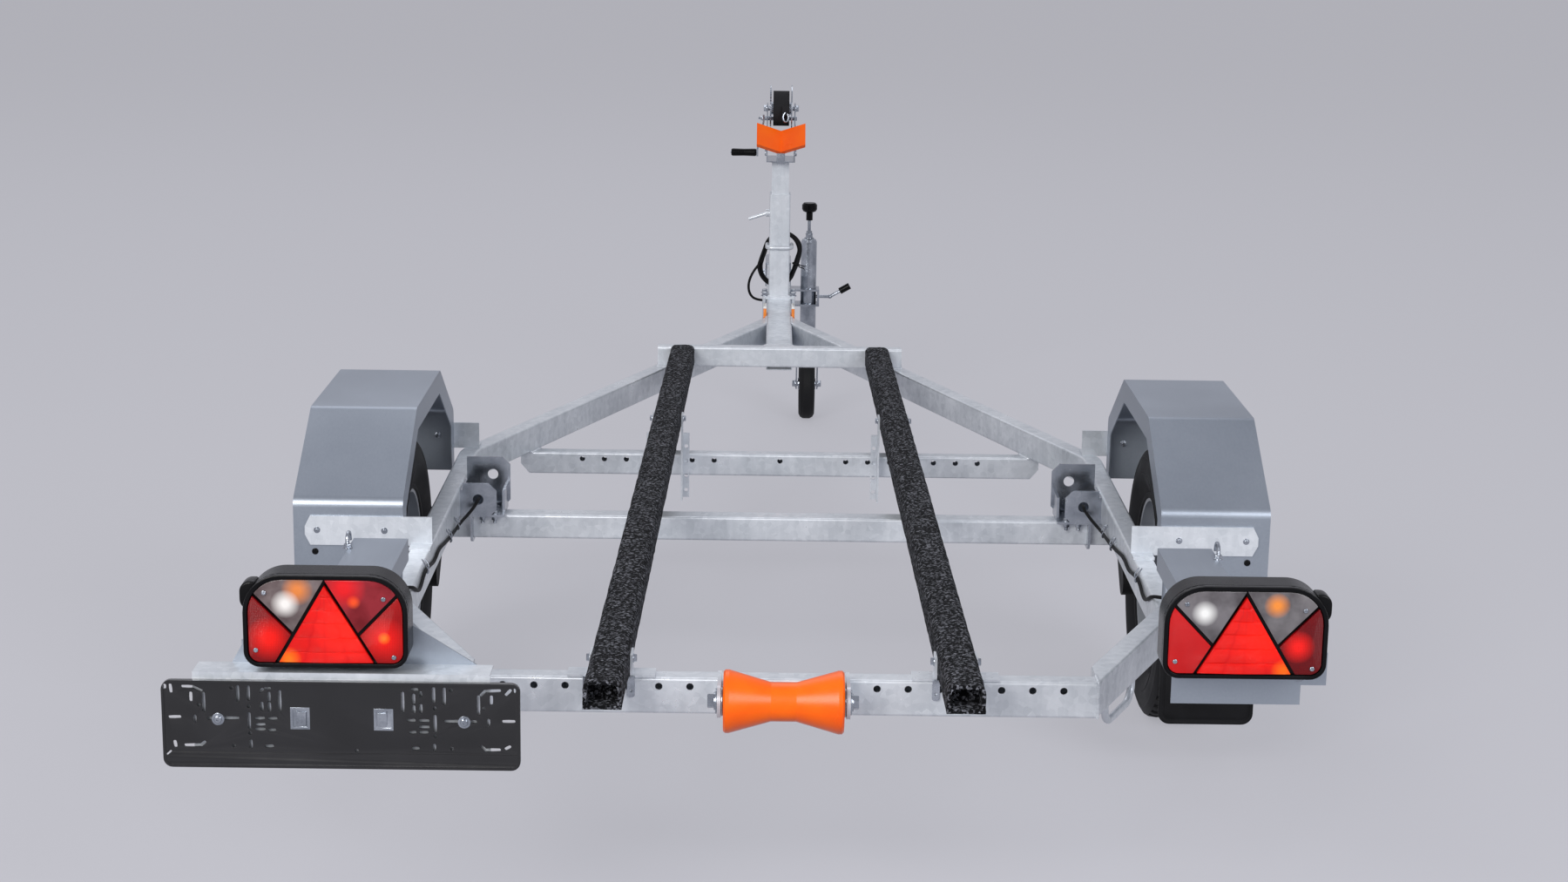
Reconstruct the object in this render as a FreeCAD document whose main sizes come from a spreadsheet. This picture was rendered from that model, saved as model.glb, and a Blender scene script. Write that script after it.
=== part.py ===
import FreeCAD
import Part
import Sketcher
import math
import os

# Boat trailer with a single torsion axle, two carpeted bunks, a keel roller, a winch post and a jockey wheel.
# +Y points to the towing vehicle and +X to the right. Z is up from the ground.
# Stations along Y are counted from the rear face of the rear cross member.
# Every node then moves back by half the overall length, so that the origin is under the middle.

doc = FreeCAD.newDocument("boat_trailer")

# Driving sizes in millimetres and degrees, as alias: value
SIZES = {
    # frame
    "nose_station": 4485,
    "tail_overhang": 315,
    "frame_top": 450,
    "rail_width": 40,
    "rail_height": 60,
    "tube_wall": 3,
    "tube_round": 5,
    "rail_offset": 680,
    "rear_half_width": 505,
    "rear_angle": 24.5,
    "rear_bend_radius": 60,
    "front_bend_station": 1575,
    "front_angle": 21.8,
    "front_bend_radius": 150,
    "beam_depth": 40,
    "hole_pitch": 50,
    "hole_radius": 6,
    "hole_drop": 14,
    "middle_beam_station": 1810,
    "middle_beam_height": 50,
    "middle_beam_half": 590,
    "beam_end_upper": 10,
    "beam_end_lower": 24,
    "beam_end_length": 20,
    "front_beam_station": 2520,
    "front_beam_height": 50,
    "front_beam_half": 309,
    "drawbar_width": 70,
    "drawbar_height": 70,
    "drawbar_rear": 2830,
    "drawbar_front": 4260,
    "seat_gap": 0.3,
    # axle
    "axle_station": 1270,
    "axle_square": 50,
    "axle_wall": 4,
    "axle_short": 116,
    "arm_drop": 85,
    "arm_trail": 85,
    "arm_thick": 24,
    "arm_boss_radius": 33,
    "arm_hub_radius": 27,
    "spindle_radius": 17,
    "spindle_gap": 0.05,
    "bracket_thick": 5,
    "bracket_length": 92,
    "bracket_height": 62,
    "saddle_length": 85,
    "bracket_rear_reach": 75,
    "bracket_rear_rise": 71,
    "bracket_front_reach": 95,
    "bracket_front_rise": 107,
    "bracket_chamfer": 16,
    "bracket_web_start": 18,
    "bracket_web_rise": 52,
    "bracket_eye_radius": 11,
    "bracket_rear_eye": 37,
    "bracket_front_eye": 59,
    "bracket_front_eye_rise": 70,
    "axle_flange_offset": 20,
    "axle_flange_drop": 57,
    "axle_flange_round": 20,
    # wheels
    "wheel_centre": 818,
    "tyre_radius": 280,
    "tyre_width": 152,
    "rim_radius": 171,
    "rim_width": 118,
    "rim_wall": 4,
    "rim_flange": 8,
    "tyre_wall": 10,
    "tyre_shoulder": 26,
    "tyre_shoulder_step": 12,
    "tyre_shoulder_fall": 8,
    "tyre_side_low": 33,
    "tyre_side_middle": 55,
    "tyre_side_high": 82,
    "tyre_side_tuck": 6,
    "tyre_side_ease": 4,
    "tread_thick": 17,
    "rim_drop": 18,
    "disc_radius": 88,
    "disc_offset": 16,
    "disc_dish": 14,
    "disc_ring": 20,
    "disc_bore_gap": 6,
    "hub_radius": 52,
    "hub_length": 86,
    "hub_cap_radius": 27,
    "hub_cap_length": 34,
    "hub_cap_edge": 8,
    "hub_cap_wall": 6,
    "hub_neck": 10,
    "hub_neck_length": 30,
    "hub_flange_thick": 10,
    "hub_flange_radius": 63,
    "rim_window_count": 10,
    "rim_window_radius": 13,
    "rim_window_circle": 119,
    "groove_width": 6,
    "groove_depth": 7,
    "groove_spacing": 32,
    # mudguards
    "guard_inner": 715,
    "guard_width": 207,
    "guard_sheet": 2,
    "guard_top": 668,
    "guard_shoulder": 535,
    "guard_foot": 400,
    "guard_half_top": 183,
    "guard_half_length": 404,
    "guard_lip": 46,
    "guard_round": 22,
    "guard_arch_round": 10,
    "guard_strap_thick": 5,
    "guard_strap_height": 56,
    "guard_strap_reach": 220,
    "guard_strap_nose": 20,
    "flap_width": 182,
    "flap_thick": 5,
    "flap_bottom": 112,
    "flap_top": 425,
    "flap_round": 22,
    # rear lamps and number plate holder
    "lamp_centre": 677,
    "lamp_width": 242,
    "lamp_height": 141,
    "lamp_bottom": 563,
    "lamp_depth": 46,
    "lamp_top_round": 58,
    "lamp_bottom_round": 24,
    "lens_depth": 12,
    "lens_margin": 7,
    "tray_width": 96,
    "tray_centre": 712,
    "tray_sheet": 3,
    "tray_height": 40,
    "tray_overlap": 28,
    "tray_top": 545,
    "lamp_tube_radius": 11,
    "lamp_post_radius": 9,
    "lamp_tube_setback": 20,
    "lamp_board_low": 552,
    "lamp_board_inner": 462,
    "lamp_board_outer": 827,
    "lamp_board_narrow_inner": 590,
    "lamp_board_narrow_outer": 782,
    "lamp_foot_width": 54,
    "lamp_foot_outer": 812,
    "lamp_foot_low": 536,
    "lamp_foot_depth": 26,
    "board_top": 552,
    "board_sheet": 3,
    "board_flange": 22,
    "plate_centre": 657,
    "plate_width": 530,
    "plate_height": 135,
    "plate_thick": 9,
    "plate_top": 541,
    "plate_round": 14,
    "plate_carrier_half": 220,
    # bunks and their supports
    "bunk_width": 60,
    "bunk_height": 46,
    "bunk_bottom": 460,
    "bunk_rear": 188,
    "bunk_rear_offset": 279,
    "bunk_front_offset": 246,
    "bunk_round": 14,
    "bunk_strap_thick": 4,
    "bunk_strap_width": 40,
    "bunk_channel_depth": 18,
    "bunk_channel_bottom": 290,
    "bunk_channel_short": 20,
    "bunk_hole_radius": 4.5,
    "bunk_hole_pitch": 34,
    "bunk_strap_rise": 28,
    # keel roller
    "roller_length": 190,
    "roller_radius": 50,
    "roller_waist_radius": 31,
    "roller_waist_half": 20,
    "roller_flat_half": 86,
    "roller_edge": 3,
    "roller_station": 75,
    "roller_height": 438,
    "roller_bore_gap": 0.05,
    "roller_rod_radius": 8,
    "roller_ear_gap": 4,
    "roller_ear_thick": 6,
    "roller_ear_half": 26,
    "roller_rod_end": 12,
    # winch post
    "mast_station": 3560,
    "mast_outer": 60,
    "mast_inner": 50,
    "mast_wall": 4,
    "mast_fit_gap": 0.6,
    "sleeve_top": 755,
    "post_top": 850,
    "post_engaged": 150,
    "foot_width": 92,
    "foot_length": 78,
    "foot_thick": 8,
    "u_rod_radius": 6,
    "ring_height": 600,
    "ring_radius": 6,
    "weld_depth": 1,
    "lock_height": 697,
    "lock_nut_thick": 10,
    "lock_nut_radius": 11,
    "lock_radius": 5,
    "lock_length": 58,
    "lock_slant": 18,
    # winch
    "winch_width": 82,
    "winch_axle_end": 5,
    "winch_sheet": 3,
    "winch_rear": 50,
    "winch_front": 92,
    "winch_crown": 15,
    "drum_rise": 150,
    "drum_flange_radius": 66,
    "drum_flange_gap": 57,
    "drum_core_radius": 18,
    "strap_radius": 50,
    "strap_width": 46,
    "drum_axle_radius": 7,
    "gear_teeth_large": 42,
    "gear_teeth_small": 10,
    "gear_module": 3,
    "gear_thick": 4,
    "gear_angle": 117.5,
    "crank_arm": 100,
    "crank_shaft_radius": 6.5,
    "crank_boss": 12,
    "crank_jog": 17,
    "crank_bar_thick": 5,
    "crank_bar_width": 20,
    "grip_length": 73,
    "grip_radius": 11,
    "grip_edge": 2,
    "grip_waist": 0.8,
    "grip_pin_radius": 4,
    # bow stop
    "bow_width": 138,
    "bow_height": 72,
    "bow_thick": 14,
    "bow_fold": 30,
    "bow_lean": 40,
    "bow_back": 7,
    "bow_back_half": 12,
    "bow_rise": 36,
    "bow_reach": 100,
    "bow_strap_thick": 5,
    # jockey wheel
    "jockey_station": 3930,
    "jockey_offset": 92,
    "jockey_outer_radius": 24,
    "jockey_cap_round": 10,
    "jockey_cap_edge": 3,
    "draft_step": 2,
    "jockey_wall": 2.5,
    "jockey_fit_gap": 0.4,
    "jockey_top": 568,
    "jockey_bottom": 290,
    "jockey_wheel_radius": 108,
    "jockey_wheel_width": 48,
    "jockey_hub_radius": 52,
    "jockey_side_step": 3,
    "jockey_boss_wall": 10,
    "jockey_disc_inset": 12,
    "jockey_rim_wall": 6,
    "jockey_tread_round": 14,
    "jockey_tread_edge": 5,
    "jockey_trail": 36,
    "jockey_fork_sheet": 4,
    "jockey_fork_front": 10,
    "jockey_fork_collar": 26,
    "jockey_axle_end": 6,
    "jockey_fork_gap": 6,
    "jockey_fork_top": 233,
    "jockey_axle_radius": 8,
    "jockey_pin_radius": 12,
    "jockey_plug": 40,
    "jockey_inner_top": 500,
    "jockey_neck_radius": 9,
    "jockey_neck_top": 590,
    "jockey_spindle_radius": 5,
    "jockey_elbow_radius": 6.5,
    "jockey_grip_radius": 10,
    "jockey_knob_radius": 23,
    "jockey_knob_wall": 5,
    "jockey_knob_edge": 3,
    "jockey_knob_cap": 25,
    "jockey_knob_height": 53,
    "jockey_knob_bottom": 624,
    "jockey_clamp_bottom": 363,
    "jockey_clamp_height": 52,
    "jockey_clamp_half": 33,
    "jockey_clamp_wall": 6,
    "jockey_handle_reach": 34,
    "jockey_grip_length": 34,
    "jockey_grip_lift": 30,
    # coupling
    "coupling_rear": 4150,
    "coupling_wall": 5,
    "coupling_low": 381,
    "coupling_shoulder": 4300,
    "coupling_nose_half": 38,
    "coupling_nose_round": 30,
    "coupling_crown": 432,
    "ball_radius": 25,
    "ball_gap": 0.5,
    "ball_station": 4435,
    "ball_height": 394,
    "lever_width": 34,
    "lever_length": 215,
    "lever_rise": 62,
    "lever_thick": 12,
    # supply lead in a hank in front of the winch post
    "lead_radius": 3.75,
    "gland_station": 3645,
    "gland_drop": 25,
    "gland_radius": 9,
    "gland_length": 12,
    "gland_nose": 5.5,
    "hank_x": 2,
    "hank_gap": 7,
    "hank_height": 556,
    "hank_half_width": 50,
    "hank_half_height": 78,
    "hank_thick": 16,
    "hank_lean": 18,
    "plug_x": -5,
    "plug_bottom": 496,
    "plug_radius": 20,
    "plug_length": 56,
    "plug_edge": 4,
    "plug_neck_radius": 8,
    "plug_neck_length": 16,
    # tie loops under the rear ends of the rails, and the small lamps on the drawbar
    "loop_length": 150,
    "loop_drop": 46,
    "loop_bend": 32,
    "loop_radius": 6.5,
    "loop_station": 105,
    "marker_station": 3290,
    "marker_length": 70,
    "marker_height": 36,
    "marker_thick": 9,
    "marker_drop": 12,
}

sheet = doc.addObject("Spreadsheet::Sheet", "Sizes")
for row, (alias, value) in enumerate(SIZES.items(), start=1):
    sheet.set(f"A{row}", str(value))
    sheet.setAlias(f"A{row}", alias)
doc.recompute()

NODES = []


def bound(text):
    """An expression of aliases, written with the sheet's name before each alias."""
    parts = []
    word = ""
    for sign in str(text) + " ":
        if sign.isalnum() or sign == "_":
            word += sign
            continue
        parts.append(f"Sizes.{word}" if word in SIZES else word)
        parts.append(sign)
        word = ""
    return "".join(parts).strip()


def number(text):
    """The value that an expression of aliases has now."""
    return float(sheet.evalExpression(bound(text)))


def tie(item, **fields):
    """Binds properties of an object to expressions: Length="rail_width"."""
    for field, text in fields.items():
        item.setExpression(field.replace("__", "."), bound(text))
    return item


def put(item, x="0", y="0", z="0"):
    """Places an object at x, y, z in station coordinates."""
    return tie(item, Placement__Base__x=x, Placement__Base__y=y, Placement__Base__z=z)


def node(item, label):
    """Names the object as a node of the part and moves it from stations to the part's own frame."""
    item.Label = label
    shift = "0 - (nose_station - tail_overhang) / 2"
    tie(item, Placement__Base__y=shift)
    NODES.append(item)
    return item


def signed(side, text):
    """The expression on the left (side -1) or on the right (side 1)."""
    return f"{side} * ({text})"


# Places that several pieces share
REAR_BEND = "((rail_offset - rear_half_width) / tan(rear_angle) + rail_width / 2 / sin(rear_angle))"
RAIL_FACE = "(rail_offset - rail_width / 2)"
RAIL_LOW = "(frame_top - rail_height)"
AXLE_END = "(wheel_centre - axle_short)"
AXLE_Z = f"({RAIL_LOW} - axle_square / 2)"
WHEEL_Y = "(axle_station - arm_trail)"
WHEEL_Z = f"({AXLE_Z} - arm_drop)"
LAMP_TUBE_Y = f"({REAR_BEND} + lamp_tube_setback)"
DRUM_Z = "(post_top + drum_rise)"
BOW_Z = "(post_top + bow_rise)"

TURN = {
    "x": FreeCAD.Rotation(FreeCAD.Vector(0, 1, 0), 90),
    "y": FreeCAD.Rotation(FreeCAD.Vector(1, 0, 0), -90),
    "z": FreeCAD.Rotation(),
}


def span(side, inner, outer):
    """The lowest X and the width of a piece that lies between two distances from the middle."""
    return f"({inner})" if side > 0 else f"(0 - ({outer}))", f"(({outer}) - ({inner}))"


def block(name, x, y, z, dx, dy, dz):
    """A box whose lowest corner is at x, y, z."""
    item = doc.addObject("Part::Box", name)
    tie(item, Length=dx, Width=dy, Height=dz)
    return put(item, x, y, z)


def rod(name, axis, x, y, z, radius, length):
    """A cylinder that starts at x, y, z and runs along +axis."""
    item = doc.addObject("Part::Cylinder", name)
    item.Placement.Rotation = TURN[axis]
    tie(item, Radius=radius, Height=length)
    return put(item, x, y, z)


def fuse(name, shapes):
    """One solid of touching shapes, or one node of separate solids."""
    if len(shapes) == 1:
        return shapes[0]
    item = doc.addObject("Part::MultiFuse", name)
    item.Shapes = shapes
    item.Refine = True
    return item


def cut(name, base, tools):
    item = doc.addObject("Part::Cut", name)
    item.Base = base
    item.Tool = fuse(name + "_tools", tools)
    item.Refine = True
    return item


def outline(body, name, role, points, shift="0"):
    """A closed sketch of straight lines on one of the body's origin planes, each corner bound to the sheet."""
    sketch = body.newObject("Sketcher::SketchObject", name)
    plane = [part for part in body.Origin.OriginFeatures if part.Role == role][0]
    sketch.AttachmentSupport = [(plane, "")]
    sketch.MapMode = "FlatFace"
    tie(sketch, AttachmentOffset__Base__z=shift)
    corners = [FreeCAD.Vector(number(u), number(v), 0) for u, v in points]
    count = len(corners)
    for index, corner in enumerate(corners):
        sketch.addGeometry(Part.LineSegment(corner, corners[(index + 1) % count]))
    for index in range(count):
        sketch.addConstraint(Sketcher.Constraint("Coincident", index, 2, (index + 1) % count, 1))
    for index, (corner, texts) in enumerate(zip(corners, points)):
        for kind, value, text in (("DistanceX", corner.x, texts[0]), ("DistanceY", corner.y, texts[1])):
            place = sketch.addConstraint(Sketcher.Constraint(kind, -1, 1, index, 1, value))
            sketch.setExpression(f"Constraints[{place}]", bound(text))
    return sketch


def pad(body, sketch, length, both=False):
    item = body.newObject("PartDesign::Pad", sketch.Name + "_pad")
    item.Profile = sketch
    item.Midplane = both
    tie(item, Length=length)
    sketch.Visibility = False
    doc.recompute()
    return item


def pocket(body, sketch, length, both=False, away=False):
    """Cuts the sketch out along its normal, or against it with away."""
    item = body.newObject("PartDesign::Pocket", sketch.Name + "_pocket")
    item.Profile = sketch
    item.Midplane = both
    item.Reversed = not away
    tie(item, Length=length)
    doc.recompute()
    return item


def round_edges(body, feature, radius, wanted):
    """Fillets those straight edges of the feature for which wanted(middle, direction) is true."""
    names = []
    for index, edge in enumerate(feature.Shape.Edges, start=1):
        if edge.Curve.TypeId != "Part::GeomLine":
            continue
        start = edge.Vertexes[0].Point
        end = edge.Vertexes[-1].Point
        if wanted((start + end) / 2, (end - start).normalize()):
            names.append(f"Edge{index}")
    item = body.newObject("PartDesign::Fillet", feature.Name + "_round")
    item.Base = (feature, names)
    tie(item, Radius=radius)
    doc.recompute()
    return item


def near(value, text):
    """True where a coordinate is at the place that the expression gives."""
    return abs(value - number(text)) < 0.01


def new_body(name):
    return doc.addObject("PartDesign::Body", name)


def box_tube(name, axis, start, length, low_u, low_v, width, height, wall, holes=()):
    """A rectangular tube along x or y with rounded long edges.
    low_u and low_v are the lowest corner of the section and holes are tools to cut out."""
    body = new_body(name + "_tube")
    role = {"x": "YZ_Plane", "y": "XZ_Plane"}[axis]
    outer = [
        (low_u, low_v),
        (f"{low_u} + {width}", low_v),
        (f"{low_u} + {width}", f"{low_v} + {height}"),
        (low_u, f"{low_v} + {height}"),
    ]
    inner = [
        (f"{low_u} + {wall}", f"{low_v} + {wall}"),
        (f"{low_u} + {width} - {wall}", f"{low_v} + {wall}"),
        (f"{low_u} + {width} - {wall}", f"{low_v} + {height} - {wall}"),
        (f"{low_u} + {wall}", f"{low_v} + {height} - {wall}"),
    ]
    along_y = axis == "y"
    shift = f"0 - ({start})" if along_y else start
    solid = pad(body, outline(body, name + "_section", role, outer, shift), length)
    solid.Reversed = along_y
    doc.recompute()
    long_way = FreeCAD.Vector(0, 1, 0) if along_y else FreeCAD.Vector(1, 0, 0)
    rounded = round_edges(
        body, solid, "tube_round", lambda middle, way: abs(way.dot(long_way)) > 0.99
    )
    hollow = pocket(body, outline(body, name + "_bore", role, inner, shift), length, away=along_y)
    body.Tip = hollow
    return cut(name, body, holes) if holes else body


# Frame rails: one bent tube on each side
def rail(side, label):
    half = "rail_width / 2"
    join = "drawbar_width / 2"
    front_run = f"(front_bend_station + (rail_offset - {join}) / tan(front_angle))"

    def offset_corners(inset):
        grow = f"({half} - {inset})"
        rear_end = f"(rear_half_width + {inset})"
        end_y = f"({REAR_BEND} - (rail_offset - rear_half_width) / tan(rear_angle)"
        return [
            (rear_end, f"{end_y} - {grow} / sin(rear_angle))"),
            (f"rail_offset + {grow}", f"{REAR_BEND} - {grow} * tan(rear_angle / 2)"),
            (f"rail_offset + {grow}", f"front_bend_station + {grow} * tan(front_angle / 2)"),
            (join, f"{front_run} + {grow} / sin(front_angle)"),
            (join, f"{front_run} - {grow} / sin(front_angle)"),
            (f"rail_offset - {grow}", f"front_bend_station - {grow} * tan(front_angle / 2)"),
            (f"rail_offset - {grow}", f"{REAR_BEND} + {grow} * tan(rear_angle / 2)"),
            (rear_end, f"{end_y} + {grow} / sin(rear_angle))"),
        ]

    body = new_body(label + "_body")
    outer = [(signed(side, x), y) for x, y in offset_corners("0")]
    bar = pad(body, outline(body, label + "_plan", "XY_Plane", outer, "frame_top - rail_height"), "rail_height")
    for bend, inside, radius in (
        ("front_bend_station", -1, "front_bend_radius - rail_width / 2"),
        ("front_bend_station", 1, "front_bend_radius + rail_width / 2"),
        (REAR_BEND, -1, "rear_bend_radius - rail_width / 2"),
        (REAR_BEND, 1, "rear_bend_radius + rail_width / 2"),
    ):
        edge_x = f"rail_offset + {inside} * {half}"
        spot = number(bend)
        reach = number(half)
        bar = round_edges(
            body, bar, radius,
            lambda middle, way: abs(way.z) > 0.99 and near(abs(middle.x), edge_x) and abs(middle.y - spot) < reach,
        )
    names = []
    for index, edge in enumerate(bar.Shape.Edges, start=1):
        box = edge.BoundBox
        flat = box.ZLength < 0.01
        at_cut = box.XLength < 0.01 and (
            near(abs(box.XMax), "rear_half_width") or near(abs(box.XMax), join)
        )
        if flat and not at_cut:
            names.append(f"Edge{index}")
    soft = body.newObject("PartDesign::Fillet", label + "_soft")
    soft.Base = (bar, names)
    tie(soft, Radius="tube_round")
    doc.recompute()
    corners = offset_corners("tube_wall")
    corner_x, corner_y = corners[2]
    run = "((front_bend_radius + rail_width / 2) * tan(front_angle / 2))"
    corners[2:3] = [
        (corner_x, f"{corner_y} - {run}"),
        (f"{corner_x} - {run} * sin(front_angle)", f"{corner_y} + {run} * cos(front_angle)"),
    ]
    inner = [(signed(side, x), y) for x, y in corners]
    hollow = pocket(
        body,
        outline(body, label + "_inside", "XY_Plane", inner, "frame_top - rail_height + tube_wall"),
        "rail_height - 2 * tube_wall",
    )
    body.Tip = hollow
    return node(body, label)


def hole_row(name, steps, y, z, depth):
    """Holes along X on the hole pitch, drilled through a beam that is depth thick."""
    return [
        rod(f"{name}_{'minus' if step < 0 else 'plus'}_{abs(step)}", "y",
            f"{step} * hole_pitch", y, z, "hole_radius", depth)
        for step in steps
    ]


REAR_STEPS = [-9, -8, -7, -6, -5, -4, -3, 3, 4, 5, 6, 7, 8, 9]
MIDDLE_STEPS = [-9, -8, -7, -6, -5, -4, -3, 0, 3, 4, 5, 6, 7, 8, 9]


def cross_members():
    rear = box_tube(
        "rear_beam", "x", "0 - rear_half_width", "2 * rear_half_width", "0", "frame_top - rail_height",
        "beam_depth", "rail_height", "tube_wall",
        hole_row("rear_hole", REAR_STEPS, "0 - 1", "frame_top - hole_drop", "beam_depth + 2"),
    )
    node(rear, "rear_cross_member")
    top = "frame_top - rail_height"
    middle = box_tube(
        "middle_beam", "x", "0 - middle_beam_half", "2 * middle_beam_half", "middle_beam_station",
        f"{top} - middle_beam_height", "beam_depth", "middle_beam_height", "tube_wall",
        hole_row("middle_hole", MIDDLE_STEPS, "middle_beam_station - 1", f"{top} - hole_drop", "beam_depth + 2"),
    )
    ends = []
    for side, word in ((-1, "left"), (1, "right")):
        tip = "(middle_beam_half + seat_gap)"
        for level, edge, way, rise in (("upper", top, -1, "beam_end_upper"),
                                       ("lower", f"({top} - middle_beam_height)", 1, "beam_end_lower")):
            name = f"beam_end_{level}_{word}"
            body = new_body(name)
            length = f"beam_end_length * {rise} / beam_end_lower"
            body.Tip = pad(
                body,
                outline(
                    body, f"{name}_shape", "XZ_Plane",
                    [
                        (signed(side, f"{tip} - {length}"), edge),
                        (signed(side, tip), f"{edge} + {way} * {rise}"),
                        (signed(side, tip), edge),
                    ],
                    "0 - middle_beam_station - beam_depth - seat_gap",
                ),
                "beam_depth + 2 * seat_gap",
            )
            ends.append(body)
    node(cut("middle_beam_ends", middle, ends), "middle_cross_member")
    front = box_tube(
        "front_beam", "x", "0 - front_beam_half", "2 * front_beam_half", "front_beam_station",
        "frame_top", "beam_depth", "front_beam_height", "tube_wall",
    )
    node(front, "front_cross_member")
    bar = box_tube(
        "draw_beam", "y", "drawbar_rear", "drawbar_front - drawbar_rear", "0 - drawbar_width / 2",
        "frame_top - drawbar_height", "drawbar_width", "drawbar_height", "tube_wall",
    )
    node(bar, "drawbar")


def bent_bar(name, length, drop, bend, radius):
    """A round bar bent into a U that hangs from the origin: its legs are length apart along X."""
    body = new_body(name)
    path = body.newObject("Sketcher::SketchObject", f"{name}_path")
    section = body.newObject("Sketcher::SketchObject", f"{name}_section")
    for sketch, role in ((path, "XZ_Plane"), (section, "XY_Plane")):
        plane = [part for part in body.Origin.OriginFeatures if part.Role == role][0]
        sketch.AttachmentSupport = [(plane, "")]
        sketch.MapMode = "FlatFace"
    across = number(length)
    deep = number(drop)
    curve = number(bend)
    low = curve - deep
    up = FreeCAD.Vector(0, 0, 1)
    corners = [Part.Circle(FreeCAD.Vector(x, low, 0), up, curve) for x in (curve, across - curve)]
    path.addGeometry(Part.LineSegment(FreeCAD.Vector(), FreeCAD.Vector(0, low, 0)))
    path.addGeometry(Part.ArcOfCircle(corners[0], math.pi, 1.5 * math.pi))
    foot = FreeCAD.Vector(curve, 0 - deep, 0)
    path.addGeometry(Part.LineSegment(foot, FreeCAD.Vector(across - curve, 0 - deep, 0)))
    path.addGeometry(Part.ArcOfCircle(corners[1], 1.5 * math.pi, 2 * math.pi))
    path.addGeometry(Part.LineSegment(FreeCAD.Vector(across, low, 0), FreeCAD.Vector(across, 0, 0)))
    for rule in (
        ("Coincident", 0, 1, -1, 1), ("Vertical", 0), ("Tangent", 0, 2, 1, 1), ("Tangent", 1, 2, 2, 1),
        ("Horizontal", 2), ("Tangent", 2, 2, 3, 1), ("Tangent", 3, 2, 4, 1), ("Vertical", 4),
        ("PointOnObject", 4, 2, -1),
    ):
        path.addConstraint(Sketcher.Constraint(*rule))
    section.addGeometry(Part.Circle(FreeCAD.Vector(), up, number(radius)))
    section.addConstraint(Sketcher.Constraint("Coincident", 0, 3, -1, 1))
    for sketch, rule, text in (
        (path, ("DistanceX", -1, 1, 4, 2, across), length), (path, ("DistanceY", 2, 1, -1, 1, deep), drop),
        (path, ("Radius", 1, curve), bend), (path, ("Radius", 3, curve), bend),
        (section, ("Radius", 0, number(radius)), radius),
    ):
        place = sketch.addConstraint(Sketcher.Constraint(*rule))
        sketch.setExpression(f"Constraints[{place}]", bound(text))
    doc.recompute()
    pipe = body.newObject("PartDesign::AdditivePipe", f"{name}_pipe")
    pipe.Profile = section
    pipe.Spine = path
    doc.recompute()
    body.Tip = pipe
    return body


# Axle tube, its brackets under the rails and the trailing arms with their spindles
def axle():
    tube = box_tube(
        "axle_tube", "x", f"0 - {AXLE_END}", f"2 * {AXLE_END}", "axle_station - axle_square / 2",
        f"{AXLE_Z} - axle_square / 2", "axle_square", "axle_square", "axle_wall",
    )
    node(tube, "axle_beam")
    brackets = []
    for side, word in ((-1, "left"), (1, "right")):
        brackets.append(axle_bracket(side, word))
        node(axle_arm(side, word), f"axle_arm_{word}")
    node(fuse("axle_brackets_fuse", brackets), "axle_brackets")


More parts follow.
